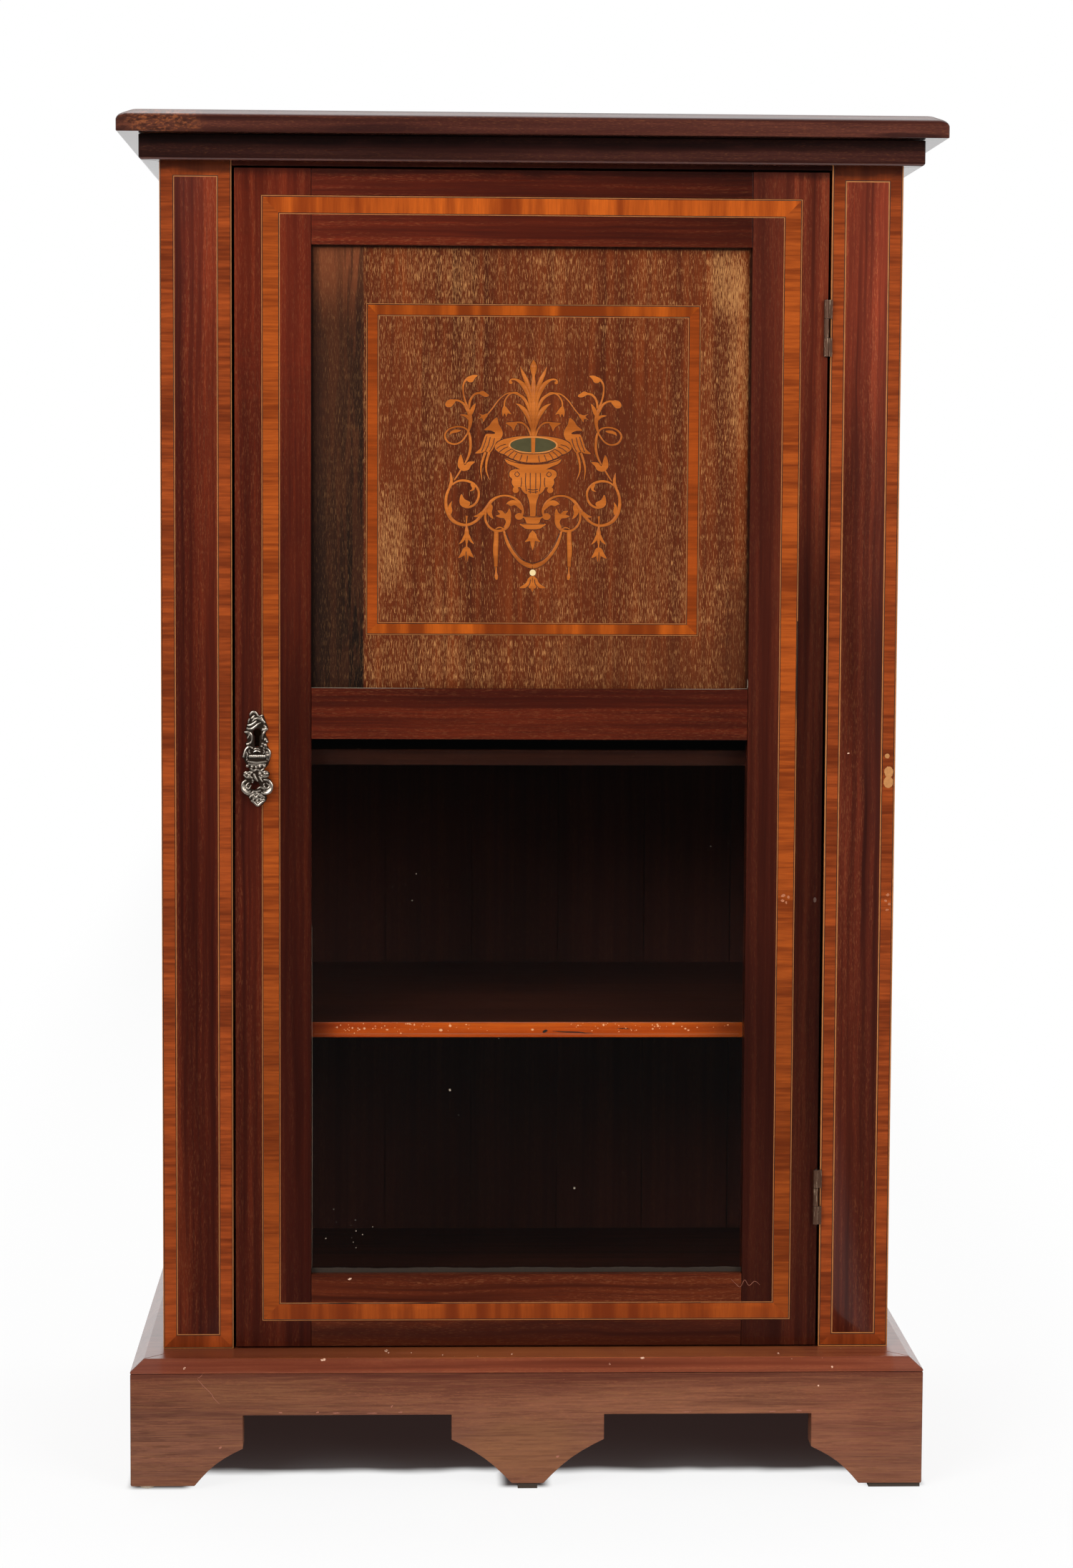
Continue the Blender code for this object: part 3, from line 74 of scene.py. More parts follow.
class Wire:
    # one socket, so that shader maths can be written as Python maths
    def __init__(self, tree, socket):
        self.tree = tree
        self.socket = socket

    def math(self, operation, *others):
        return self.tree.add("ShaderNodeMath", {"operation": operation}, dict(enumerate((self, *others))))

    def __add__(self, other):
        return self.math("ADD", other)

    def __mul__(self, other):
        return self.math("MULTIPLY", other)

    def __sub__(self, other):
        return self.math("SUBTRACT", other)

    def __truediv__(self, other):
        return self.math("DIVIDE", other)

    def __pow__(self, other):
        return self.math("POWER", other)

    def __rsub__(self, other):
        return (self * -1) + other

    def __abs__(self):
        return self.math("ABSOLUTE")

    __radd__ = __add__
    __rmul__ = __mul__

    def least(self, other):
        return self.math("MINIMUM", other)

    def most(self, other):
        return self.math("MAXIMUM", other)

    def above(self, level, blur):
        # 0 below the level and 1 above it, with a soft edge as wide as the blur
        sides = {"Value": self, "From Min": level - blur / 2, "From Max": level + blur / 2}
        return self.tree.add("ShaderNodeMapRange", {"interpolation_type": "SMOOTHSTEP"}, sides)

    def between(self, low, high, blur):
        return self.above(low, blur) * (1 - self.above(high, blur))

    def output(self, which):
        return Wire(self.tree, self.socket.node.outputs[which])


class Tree:
    def __init__(self, nodeTree):
        self.nodeTree = nodeTree

    def add(self, kind, settings=None, inputs=None, output=0):
        node = self.nodeTree.nodes.new(kind)
        for key, value in (settings or {}).items():
            if key == "stops":
                ramp = node.color_ramp.elements
                while len(ramp) < len(value):
                    ramp.new(0.5)
                for stop, (place, colour) in zip(ramp, value):
                    stop.position = place
                    stop.color = (*colour, 1)
            else:
                setattr(node, key, value)
        for key, value in (inputs or {}).items():
            self.feed(node.inputs[key], value)
        return Wire(self, node.outputs[output]) if node.outputs else node

    def feed(self, socket, value):
        if isinstance(value, Wire):
            self.nodeTree.links.new(value.socket, socket)
        elif socket.type == "RGBA" and len(value) == 3:
            socket.default_value = (*value, 1)
        else:
            socket.default_value = value


class Finish(Tree):
    # a material, with the patterns that several of them share
    def __init__(self, name, **sockets):
        self.material = bpy.data.materials.new(name)
        self.material.use_nodes = True
        super().__init__(self.material.node_tree)
        self.shader = self.nodeTree.nodes["Principled BSDF"]
        self.set(**sockets)

    def set(self, **sockets):
        for key, value in sockets.items():
            self.feed(self.shader.inputs[key.replace("_", " ")], value)

    def place(self, shift=(0, 0, 0)):
        here = self.add("ShaderNodeTexCoord", output="Object")
        return self.add("ShaderNodeVectorMath", {"operation": "ADD"}, {0: here, 1: shift})

    def axes(self, place):
        across = self.add("ShaderNodeSeparateXYZ", {}, {0: place})
        return across, across.output("Y"), across.output("Z")

    def noise(self, place, scale, detail=2.0, roughness=0.5, distortion=0.0):
        scaled = self.add("ShaderNodeVectorMath", {"operation": "MULTIPLY"}, {0: place, 1: scale})
        look = {"Scale": 1.0, "Detail": detail, "Roughness": roughness, "Distortion": distortion}
        return self.add("ShaderNodeTexNoise", {}, {"Vector": scaled, **look})

    def mix(self, share, under, over):
        # a mix node keeps its colours in inputs 6 and 7, and the result in output 2
        return self.add("ShaderNodeMix", {"data_type": "RGBA"}, {0: share, 6: under, 7: over}, 2)

    def ramp(self, share, stops):
        return self.add("ShaderNodeValToRGB", {"stops": stops}, {0: share})

    def bump(self, height, strength, distance):
        return self.add("ShaderNodeBump", {}, {"Strength": strength, "Distance": distance, "Height": height})


view = {
    "place": (-0.0849, -2.6475, 0.7182),
    "turn": 0.03606,  # towards the right, in radians
    "dip": 0.08608,
    "roll": 0.0055,
    "lens": 78.38,
    "sensor": 24.0,
}


def makeCamera():
    data = bpy.data.cameras.new("camera")
    data.sensor_fit = "HORIZONTAL"
    data.sensor_width = view["sensor"]
    data.lens = view["lens"]
    camera = bpy.data.objects.new("camera", data)
    bpy.context.scene.collection.objects.link(camera)
    turn, dip, roll = view["turn"], view["dip"], view["roll"]
    ahead = Vector((math.sin(turn) * math.cos(dip), math.cos(turn) * math.cos(dip), -math.sin(dip)))
    level = Vector((math.cos(turn), -math.sin(turn), 0))
    rise = level.cross(ahead)
    right = level * math.cos(roll) + rise * math.sin(roll)
    up = rise * math.cos(roll) - level * math.sin(roll)
    turned = Matrix((right, up, -ahead)).transposed().to_4x4()
    camera.matrix_world = Matrix.Translation(view["place"]) @ turned
    bpy.context.scene.camera = camera


studio = {
    # a pair is the level where a step lies and how soft it is
    "ambient": 0.42,                 # the world's even light
    "behindCamera": 0.035,           # what polish reflects from the dark side of the studio
    "backdrop": (0.35, 0.9),         # the white side of the studio, as polish sees it
    "floor": 0.86,
    "floorRadius": 9, "floorSides": 64,
    "paperEdge": (-0.45, 0.3),       # the white paper ends here, in front of the cabinet
    "shade": (0.272, -0.147, 0.18),  # the shadow under the cabinet: half its width, its front, its back
    "shadeEdge": 0.022,
    "shadeWander": (14, 0.02),       # how often to a metre its edge wanders, and how far
    "shadeColour": (46, 34, 32),
    "feet": ((-0.2832, -0.243), (-0.018, 0.014), (0.246, 0.2832)),  # a painted shadow on the paper right under these
    "feetFront": -0.188,
    "feetEdge": (0.010, 0.012),      # how soft that shadow is across and in front
    "paperGlow": (0.86, 1.0, 0.25),  # how plain the paper looks to the camera: near, far, and how far that is
    "lamps": {
        # place, size, watts
        "keyLamp": ((-1.9, -2.7, 2.1), 1.7, 62),
        "fillLamp": ((2.1, -2.6, 1.7), 1.7, 46),
        "topLamp": ((0.0, 0.9, 2.9), 1.8, 34),
    },
    "aim": (0.0, 0.0, 0.5),
}


def raysOf(tree):
    # whether a ray comes from the camera, and whether it comes off polish or through glass
    rays = tree.add("ShaderNodeLightPath")
    return rays, rays.output("Is Glossy Ray").most(rays.output("Is Transmission Ray"))


def floorPaper():
    # white to the camera with the cabinet's shadow on it, and dark in polish in front of the cabinet
    paper = Finish("floorPaper", Roughness=0.9, Specular_IOR_Level=0.0)
    toCamera, polish = raysOf(paper)
    here = paper.place()
    across, deep, _ = paper.axes(here)
    white = deep.above(*studio["paperEdge"])
    shown = toCamera + polish * white * (1 - toCamera)
    base = paper.mix(polish, (studio["floor"],) * 3, (studio["behindCamera"],) * 3)
    paper.set(Base_Color=paper.mix(shown, base, (1.0, 1.0, 1.0)))
    halfWide, front, rear = studio["shade"]
    blur = studio["shadeEdge"]
    often, far = studio["shadeWander"]
    wander = (paper.noise(here, (often,) * 3) - 0.5) * far
    inside = (1 - abs(across).above(halfWide, blur)) * (deep + wander).between(front, rear, blur)
    sideBlur, frontBlur = studio["feetEdge"]
    underFeet = deep.between(studio["feetFront"], front, frontBlur)
    for left, right in studio["feet"]:
        inside = inside.most(across.between(left, right, sideBlur) * underFeet)
    shaded = paper.mix(inside, (1, 1, 1), linear(*studio["shadeColour"]))
    glow = paper.add("ShaderNodeEmission", {}, {"Color": shaded, "Strength": 1.0})
    near, far, reach = studio["paperGlow"]
    away = (abs(across) - halfWide).most(deep * -1 + front)
    share = toCamera * (away.above(reach, reach) * (far - near) + near)
    plainShader = Wire(paper, paper.shader.outputs[0])
    both = paper.add("ShaderNodeMixShader", {}, {0: share, 1: plainShader, 2: glow})
    paper.feed(paper.nodeTree.nodes["Material Output"].inputs["Surface"], both)
    return paper.material


def makeStudio():
    scene = bpy.context.scene
    scene.view_settings.view_transform = "Standard"
    world = bpy.data.worlds.new("studio")
    scene.world = world
    world.use_nodes = True
    tree = Tree(world.node_tree)
    background = world.node_tree.nodes["Background"]
    toCamera, shiny = raysOf(tree)
    way = tree.add("ShaderNodeTexCoord", output="Generated")
    toBack = tree.add("ShaderNodeSeparateXYZ", {}, {0: way}).output("Y")
    dark, ambient = studio["behindCamera"], studio["ambient"]
    backdrop = toBack.above(*studio["backdrop"]) * (1 - dark) + dark
    tree.feed(background.inputs["Color"], (1, 1, 1))
    tree.feed(background.inputs["Strength"], toCamera.most(shiny * (backdrop - ambient) + ambient))

    mesh = bpy.data.meshes.new("floor")
    bm = bmesh.new()
    sides, radius = studio["floorSides"], studio["floorRadius"]
    bmesh.ops.create_circle(bm, cap_ends=True, segments=sides, radius=radius)
    bm.to_mesh(mesh)
    bm.free()
    floor = bpy.data.objects.new("floor", mesh)
    scene.collection.objects.link(floor)
    floor.data.materials.append(floorPaper())

    for name, (place, size, watts) in studio["lamps"].items():
        data = bpy.data.lights.new(name, "AREA")
        data.shape = "SQUARE"
        data.size = size
        data.energy = watts
        lamp = bpy.data.objects.new(name, data)
        scene.collection.objects.link(lamp)
        lamp.location = place
        lamp.rotation_euler = (Vector(studio["aim"]) - lamp.location).to_track_quat("-Z", "Y").to_euler()


makeCamera()
makeStudio()
print("camera and studio")


woods = {
    # darkest, middle and lightest colour, then how strong the pale flecks are
    "mahogany": ((46, 12, 6), (84, 27, 12), (118, 44, 19), 0.22),
    "deep": ((40, 10, 5), (69, 21, 9), (96, 33, 14), 0.15),
    # the cornice is partly its own darker wood and partly painted shade from the top's overhang
    "cornice": ((36, 14, 10), (62, 28, 22), (84, 44, 36), 0.20),
    "hinge": ((52, 17, 9), (98, 36, 19), (134, 56, 30), 0.28),
    "bottom": ((48, 14, 5), (90, 34, 13), (122, 54, 22), 0.30),
    "top": ((38, 16, 12), (74, 36, 28), (100, 54, 42), 0.20),
    "plinth": ((72, 34, 22), (106, 55, 38), (140, 84, 58), 0.35),
    "cap": ((102, 46, 28), (138, 70, 46), (162, 94, 66), 0.30),
    "panel": ((66, 23, 4), (98, 38, 8), (126, 54, 14), 0.0),
    "raw": ((60, 25, 16), (70, 30, 20), (80, 36, 24), 0.1),
    "inside": ((38, 15, 10), (58, 26, 16), (76, 35, 21), 0.1),
    # the lower shelf's front edge: partly a paler edge, partly painted light where the lamps reach it through
    # the glass
    "edge": ((156, 50, 4), (206, 86, 8), (240, 126, 24), 0.3),
}
grainNoise = {
    # how fine along the grain and across it, then detail, roughness and distortion
    "figure": (1.6, 34, 3, 0.55, 0.4),
    "ribbon": (2.4, 170, 2, 0.6, 0.0),
    "fibre": (30, 1100, 2, 0.6, 0.0),
    "pores": (300, 2700, 1, 0.5, 0.0),
}


toneAndPaintedLight = {
    # how much lighter or darker a board is, by its height or by x, and then inside the door's ring; partly
    # its own tone, partly painted light and shade
    "mahoganyStile": ("z", ((0.13, 0.72), (0.35, 0.78), (0.60, 0.96), (0.76, 1.10), (0.89, 1.45)), ()),
    "mahoganyStileSecond": ("z", ((0.15, 0.70), (0.45, 0.95), (0.60, 0.55), (0.68, 0.70), (0.89, 2.1)), ()),
    "mahoganyUpright": ("z", ((0.25, 0.60), (0.45, 1.0), (0.60, 0.85), (0.89, 1.08)),
                        ((0.17, 0.75), (0.40, 0.60), (0.53, 0.55), (0.68, 1.15), (0.79, 1.6))),
    "mahoganyUprightSecond": ("z", ((0.17, 0.38), (0.35, 0.28), (0.62, 0.28), (0.76, 0.75), (0.85, 1.05)),
                              ((0.20, 0.55), (0.30, 0.55), (0.42, 0.78), (0.70, 0.96), (0.85, 1.4))),
    "mahoganyLevel": ("x", ((-0.165, 2.0), (-0.10, 1.55), (0.02, 1.20), (0.10, 0.85), (0.16, 0.65)), ()),
    # darker all along: partly painted shade under the top's overhang
    "corniceWood": ("x", ((-0.22, 0.50), (-0.09, 0.42), (0.02, 0.64), (0.20, 0.76)), ()),
    "shelfEdge": ("x", ((-0.156, 0.5), (-0.130, 1.0), (0.100, 1.0), (0.150, 0.58)), ()),
    "satinwoodUpright": ("z", ((0.20, 0.78), (0.30, 0.78), (0.42, 1.0), (0.62, 1.06), (0.89, 1.04)), ()),
}
tints = {
    # x, z, half width, half height, share, how finely mottled along x and z or 0, colour
    "top": (
        (-0.262, 0.966, 0.032, 0.012, 0.40, 0, (96, 54, 38)),
        (-0.258, 0.966, 0.026, 0.012, 0.60, (310, 620), (150, 84, 46)),
        (-0.266, 0.966, 0.030, 0.012, 0.60, (240, 480), (42, 20, 15)),
        (-0.110, 0.962, 0.045, 0.0030, 0.60, 0, (36, 16, 15)),
        (0.262, 0.960, 0.026, 0.0022, 0.70, 0, (36, 16, 15)),
        (0.060, 0.964, 0.100, 0.0020, 0.35, 0, (56, 25, 22)),
    ),
    "cornice": (
        # painted shadow of the top board's overhang on the cornice's upper half
        (0.0, 0.9600, 1.0, 0.0085, 0.72, 0, (20, 8, 6)),
    ),
    "deep": (
        # painted shadow of the cornice across the top of the rails
        (0.0, 0.9405, 1.0, 0.0085, 0.60, 0, (20, 7, 5)),
    ),
    "mahogany": (
        # painted shadow of the cornice across the top of the door and stiles
        (0.0, 0.9405, 1.0, 0.0085, 0.60, 0, (20, 7, 5)),
        (-0.185, 0.860, 0.040, 0.080, 0.18, 0, (128, 42, 19)),
    ),
    "hinge": (
        # painted shadow of the cornice across the top of the door and stile
        (0.0, 0.9405, 1.0, 0.0085, 0.60, 0, (20, 7, 5)),
    ),
    "bottom": (
        (0.0, 0.1000, 1.0, 0.0140, 0.62, 0, (44, 15, 8)),
    ),
    "plinth": (
        (-0.262, 0.040, 0.030, 0.035, 0.45, (40, 300), (66, 36, 26)),
        (-0.235, 0.045, 0.060, 0.050, 0.20, 0, (84, 42, 30)),
        (-0.190, 0.070, 0.070, 0.012, 0.25, 0, (134, 90, 58)),
        (0.000, 0.030, 0.040, 0.022, 0.35, 0, (138, 92, 54)),
        (0.262, 0.030, 0.030, 0.045, 0.28, 0, (88, 42, 32)),
        (0.225, 0.045, 0.050, 0.030, 0.22, 0, (132, 68, 48)),
        (0.170, 0.062, 0.060, 0.003, 0.40, 0, (78, 40, 30)),
        (-0.060, 0.078, 0.120, 0.006, 0.30, 0, (92, 42, 28)),
        (0.120, 0.080, 0.160, 0.004, 0.30, 0, (92, 42, 28)),
        (0.0, 0.040, 1.0, 0.060, 0.30, (26, 1500), (146, 98, 62)),
        (0.0, 0.040, 1.0, 0.060, 0.28, (40, 800), (74, 36, 24)),
        (0.0, 0.085, 1.0, 0.0040, 0.35, 0, (84, 36, 26)),
    ),
    "panel": (
        (0.152, 0.600, 0.014, 0.060, 0.50, 0, (56, 24, 8)),
        (0.090, 0.590, 0.080, 0.024, 0.30, 0, (78, 34, 10)),
        # painted shadow line down the left edge of the panel's recess
        (-0.152, 0.700, 0.006, 0.150, 0.45, 0, (30, 15, 9)),
        (0.060, 0.700, 0.050, 0.080, 0.15, 0, (78, 32, 10)),
    ),
    "cap": (
        # a pale line along the ledge and its front arris: partly rubbed wear, partly a painted highlight
        (0.0, 0.0942, 0.262, 0.0011, 0.60, 0, (164, 92, 48)),
        (-0.210, 0.0895, 0.150, 0.0070, 0.45, 0, (92, 40, 26)),
    ),
    "stile": (
        # painted shadow of the cornice across the top of the stiles' banding
        (0.0, 0.9405, 1.0, 0.0080, 0.75, 0, (44, 18, 9)),
    ),
    "satin": (
        (0.0, 0.1180, 0.5, 0.0100, 0.45, 0, (96, 38, 12)),
    ),
}


patchLook = {
    # a pair is the level of a step and how soft it is; a noise has its scales, detail and roughness
    "cloudNoise": ((40, 40, 160), 3, 0.6), "cloudShare": 2.0,
    "outline": (0.9, 1.4),
    "mottle": (0.54, 0.16), "mottleDepth": 40, "mottleDetail": 3, "mottleRoughness": 0.65,
}


def tinted(finish, colour, patches):
    # soft-edged places of another colour: the wood's own marks, and some painted shade and highlights
    look = patchLook
    here = finish.place()
    across, _, up = finish.axes(here)
    cloud = (finish.noise(here, *look["cloudNoise"]) - 0.5) * look["cloudShare"]
    for x, z, wide, tall, share, fine, over in patches:
        away = ((across - x) / wide) ** 2 + ((up - z) / tall) ** 2 + cloud
        amount = (1 - away.above(*look["outline"])) * share
        if fine:
            scale = (fine[0], look["mottleDepth"], fine[1])
            place = finish.place((x, 0, 0))
            mottle = finish.noise(place, scale, look["mottleDetail"], look["mottleRoughness"])
            amount = amount * mottle.above(*look["mottle"])
        colour = finish.mix(amount, colour, linear(*over))
    return colour


def faded(finish, colour, name, parts=0):
    # the same colour, lighter in some places and darker in others: partly the board's own tone, partly
    # painted light and shade
    along, *rows = toneAndPaintedLight[name]
    across, _, up = finish.axes(finish.place())
    gains = []
    for stops in rows:
        gain = stops[0][1] if stops else 1
        for (low, before), (high, after) in zip(stops, stops[1:]):
            place = up if along == "z" else across
            gain = place.above((low + high) / 2, high - low) * (after - before) + gain
        gains.append(gain)
    outer, inner = gains
    if rows[1]:
        outer = outer + (1 - abs(across).above(parts, woodLook["ringEdge"])) * (inner - outer)
    return finish.add("ShaderNodeVectorMath", {"operation": "SCALE"}, {0: colour, "Scale": outer})


def grain(finish, place, which, along):
    # noise drawn out along the grain, which lies along x or z
    low, high, *kind = grainNoise[which]
    return finish.noise(place, (low, high, high) if along == "x" else (high, high, low), *kind)


panelLookAndShade = {
    # places in metres; a pair is the level of a step and how soft it is; a noise has its scales,
    # detail, roughness and distortion
    "opening": (-0.1558, 0.1558, 0.8835),  # left, right, top
    "fleckNoise": ((3000, 40, 170), 2, 0.6, 0.25), "flecks": (0.60, 0.055), "fleckShare": 0.66,
    "fleckColour": (200, 142, 84),
    "cloudNoise": ((34, 26, 12), 3, 0.65), "cloudShare": 0.16,
    "patchOutline": (0.9, 1.6),
    "hazeGain": 2.6, "haze": (0.20, 0.4), "hazeShare": 0.12, "hazeColour": (156, 90, 40),
    "stainNoise": ((18, 18, 12), 2, 0.5), "stain": (0.56, 0.2), "stainShare": 0.35,
    "stainColour": (84, 34, 10),
    "foot": (0.61, 0.09), "footShare": 0.25, "footColour": (84, 36, 10),
    "stripEdge": -0.1188,                  # a darker board shows left of this
    "stripNoise": ((60, 60, 25), 3, 0.6), "stripWander": 2.2 * mm, "stripBlur": 1.5 * mm,
    "stripShare": 0.88, "stripColour": (62, 31, 14),
    "stripHasFlecks": 0.2,                 # as a share of those on the rest of the panel
    "top": (0.850, 0.05), "topColour": (112, 58, 30),
    "low": (0.70, 0.26), "lowShare": 0.50,
    "streakNoise": ((150, 150, 9), 3, 0.65, 0.5), "streaks": (0.50, 0.12), "streakShare": 0.28,
    "streakShareRight": 0.30,
    "rightPart": (-0.1318, 12 * mm),
    "darkest": 0.92, "darkColour": (20, 11, 6),
    # painted shade: a thin dark rim along the top and sides of the panel's recess
    "rimNoise": ((120, 120, 120), 3, 0.6), "rimWide": 2.4 * mm, "rimWander": 1.6 * mm,
    "rim": (0.8 * mm, 1.8 * mm), "rimShare": 0.85, "rimColour": (20, 9, 5),
    "patches": (
        # x, z, half width, half height, how many more flecks
        (-0.100, 0.680, 0.012, 0.040, 0.07),
        (-0.060, 0.815, 0.030, 0.060, 0.02),
        (0.148, 0.800, 0.009, 0.070, 0.07),
        (0.138, 0.860, 0.014, 0.024, 0.10),
        (0.100, 0.640, 0.040, 0.030, 0.03),
        (-0.020, 0.590, 0.120, 0.016, 0.02),
        (-0.040, 0.868, 0.090, 0.012, 0.02),
        (0.050, 0.760, 0.045, 0.060, -0.04),
        (-0.020, 0.705, 0.040, 0.060, -0.05),
    ),
}


def wornPanel(finish, colour):
    # short pale flecks, thicker in some places, a dark strip down the left side, and painted shade in a thin
    # rim along the top and sides of the opening
    wear = panelLookAndShade
    here = finish.place()
    across, _, up = finish.axes(here)

    def noise(name):
        return finish.noise(here, *wear[name])

    def over(share, name):
        return finish.mix(share, colour, linear(*wear[name]))

    crowd = (noise("cloudNoise") - 0.5) * wear["cloudShare"]
    for x, z, wide, tall, more in wear["patches"]:
        away = ((across - x) / wide) ** 2 + ((up - z) / tall) ** 2
        crowd = crowd + (1 - away.above(*wear["patchOutline"])) * more
    edge = across + (noise("stripNoise") - 0.5) * wear["stripWander"]
    strip = 1 - edge.above(wear["stripEdge"], wear["stripBlur"])
    colour = over(noise("stainNoise").above(*wear["stain"]) * wear["stainShare"], "stainColour")
    colour = over((1 - up.above(*wear["foot"])) * wear["footShare"], "footColour")
    haze = (crowd * wear["hazeGain"]).above(*wear["haze"]) * (1 - strip) * wear["hazeShare"]
    colour = over(haze, "hazeColour")
    board = finish.mix(up.above(*wear["top"]), linear(*wear["stripColour"]), linear(*wear["topColour"]))
    colour = finish.mix(strip * wear["stripShare"], colour, board)
    streaks = noise("streakNoise").above(*wear["streaks"])
    streakShare = edge.above(*wear["rightPart"]) * wear["streakShareRight"] + wear["streakShare"]
    dark = (1 - up.above(*wear["low"])) * wear["lowShare"] + streaks * streakShare
    colour = over(strip * dark.least(wear["darkest"]), "darkColour")
    flecks = (noise("fleckNoise") + crowd).above(*wear["flecks"])
    kept = 1 - strip * (1 - wear["stripHasFlecks"])
    colour = over(flecks * kept * wear["fleckShare"], "fleckColour")
    # painted shade along the top and sides of the opening
    left, right, high = wear["opening"]
    wander = (noise("rimNoise") - 0.5) * wear["rimWander"]
    rim = (across * -1 + left).most(up - high).most(across - right) + wear["rimWide"] + wander
    return over(rim.above(*wear["rim"]) * wear["rimShare"], "rimColour")


woodLook = {
    # a pair is the level of a step and how soft it is
    "seedStep": (1.37, 0.71, 2.11),  # how far apart the seeds lie in the noise
    "tones": (0.34, 0.50, 0.66),
    "bendNoise": ((11, 11, 11), 2, 0.5),
    "fibres": (0.5, 0.5), "fibreShare": 0.4,
    "pores": (0.62, 0.12), "poreRibbon": (0.48, 0.25), "poreColour": (160, 98, 58),
    "lowPlinth": (0.055, 0.06), "lowShare": 0.30, "figureShare": 0.1, "lowColour": (166, 116, 90),
    "capSides": (0.262, 6 * mm), "capFrontCoat": 0.12,
    "ringEdge": 0.5 * mm,
    "specular": 0.12, "unevenRoughness": 0.12,
    "fibreHeight": 0.5, "bumpHeight": 0.2 * mm,
}


def wood(name, kind, along, seed, polish=0.30, coat=0.3,
         parts=0.0, gloss=0.08, wave=0.004, relief=0.12, veil=0.45):
    look = woodLook
    *tones, flecks = woods[kind]
    dark, middle, light = (linear(*tone) for tone in tones)
    finish = Finish(name, Specular_IOR_Level=look["specular"], Coat_Weight=coat, Coat_Roughness=gloss)
    here = finish.place()
    across, _, up = finish.axes(here)
    straight = finish.place(tuple(seed * step for step in look["seedStep"]))
    bend = (finish.noise(straight, *look["bendNoise"]) - 0.5) * wave
    sway = finish.add("ShaderNodeCombineXYZ", {}, {"X": bend, "Z": bend})
    place = finish.add("ShaderNodeVectorMath", {"operation": "ADD"}, {0: straight, 1: sway})
    figure, ribbon, fibre, pores = (grain(finish, place, which, along) for which in grainNoise)
    colour = finish.ramp(figure * 0.5 + ribbon * 0.5, tuple(zip(look["tones"], (dark, middle, light))))
    colour = finish.mix(fibre.above(*look["fibres"]) * look["fibreShare"], colour, dark)
    dots = pores.above(*look["pores"]) * ribbon.above(*look["poreRibbon"])
    colour = finish.mix(dots * flecks, colour, linear(*look["poreColour"]))
    if kind == "plinth":
        # rubbed and paler towards the floor
        low = (1 - up.above(*look["lowPlinth"])) * look["lowShare"]
        colour = finish.mix(low + figure * look["figureShare"], colour, linear(*look["lowColour"]))
    if kind == "panel":
        colour = wornPanel(finish, colour)
    if kind in tints:
        colour = tinted(finish, colour, tints[kind])
    if parts:
        # the veneer inside the door's inlaid ring is darker
        inside = 1 - abs(across).above(parts, look["ringEdge"])
        colour = finish.mix(inside * veil, colour, dark)
    if name in toneAndPaintedLight:
        colour = faded(finish, colour, name, parts)
    if kind == "cap":
        # the ledge has lost its polish in front, and keeps it at the sides
        front = look["capFrontCoat"]
        finish.set(Coat_Weight=abs(across).above(*look["capSides"]) * (coat - front) + front)
    finish.set(
        Base_Color=colour,
        Roughness=polish + (fibre - 0.5) * look["unevenRoughness"],
        Normal=finish.bump(fibre * look["fibreHeight"] - dots, relief, look["bumpHeight"]),
    )
    return finish.material


plainLook = {"cloudDetail": 4, "cloudRoughness": 0.6, "unevenRoughness": 0.2}


def plain(name, colour, roughness, metallic=0.0, spread=0.15, scale=60):
    # an even finish with slight clouding
    look = plainLook
    finish = Finish(name, Metallic=metallic)
    cloud = finish.noise(finish.place(), (scale,) * 3, look["cloudDetail"], look["cloudRoughness"])
    darker, lighter = (tuple(part * gain for part in linear(*colour)) for gain in (1 - spread, 1 + spread))
    finish.set(
        Base_Color=finish.mix(cloud, darker, lighter),
        Roughness=roughness + (cloud - 0.5) * look["unevenRoughness"],
    )
    return finish.material


satinLook = {
    # streaks to a metre and their detail; a pair is the level of a step and how soft it is
    "sheen": (26, 2), "bars": (90, 1), "lines": (380, 2), "hairs": (1300, 3),
    "sheenShare": 0.45, "fineShare": 0.55,
    "spread": 0.06, "noiseRoughness": 0.6, "seedStep": (1.1, 0.3, 0.7),
    "tone": (0.5, 0.28),
    "hairStep": (0.5, 0.4), "hairShare": 0.3,
    "specular": 0.12, "gloss": 0.08,
    "roughness": 0.34, "unevenRoughness": 0.1,
}


def satinwood(name, along, colours, seed, bars=0.4, kind="", coat=0.24):
    # cross-banded veneer: its grain runs across the band, so the streaks change along it
    look = satinLook
    dark, light = (linear(*colour) for colour in colours)
    gloss = look["gloss"]
    finish = Finish(name, Specular_IOR_Level=look["specular"], Coat_Weight=coat, Coat_Roughness=gloss)
    place = finish.place(tuple(seed * step for step in look["seedStep"]))

    def streaks(which):
        high, detail = look[which]
        low = high * look["spread"]
        scale = (high, low, low) if along == "x" else (low, low, high)
        return finish.noise(place, scale, detail, look["noiseRoughness"])

    broad = streaks("sheen") * look["sheenShare"] + streaks("bars") * bars
    sheen = broad + streaks("lines") * (look["fineShare"] - bars)
    colour = finish.mix(sheen.above(*look["tone"]), dark, light)
    colour = finish.mix(streaks("hairs").above(*look["hairStep"]) * look["hairShare"], colour, dark)
    if kind:
        colour = tinted(finish, colour, tints[kind])
    if name in toneAndPaintedLight:
        colour = faded(finish, colour, name)
    finish.set(
        Base_Color=colour,
        Roughness=look["roughness"] + (sheen - 0.5) * look["unevenRoughness"],
    )
    return finish.material


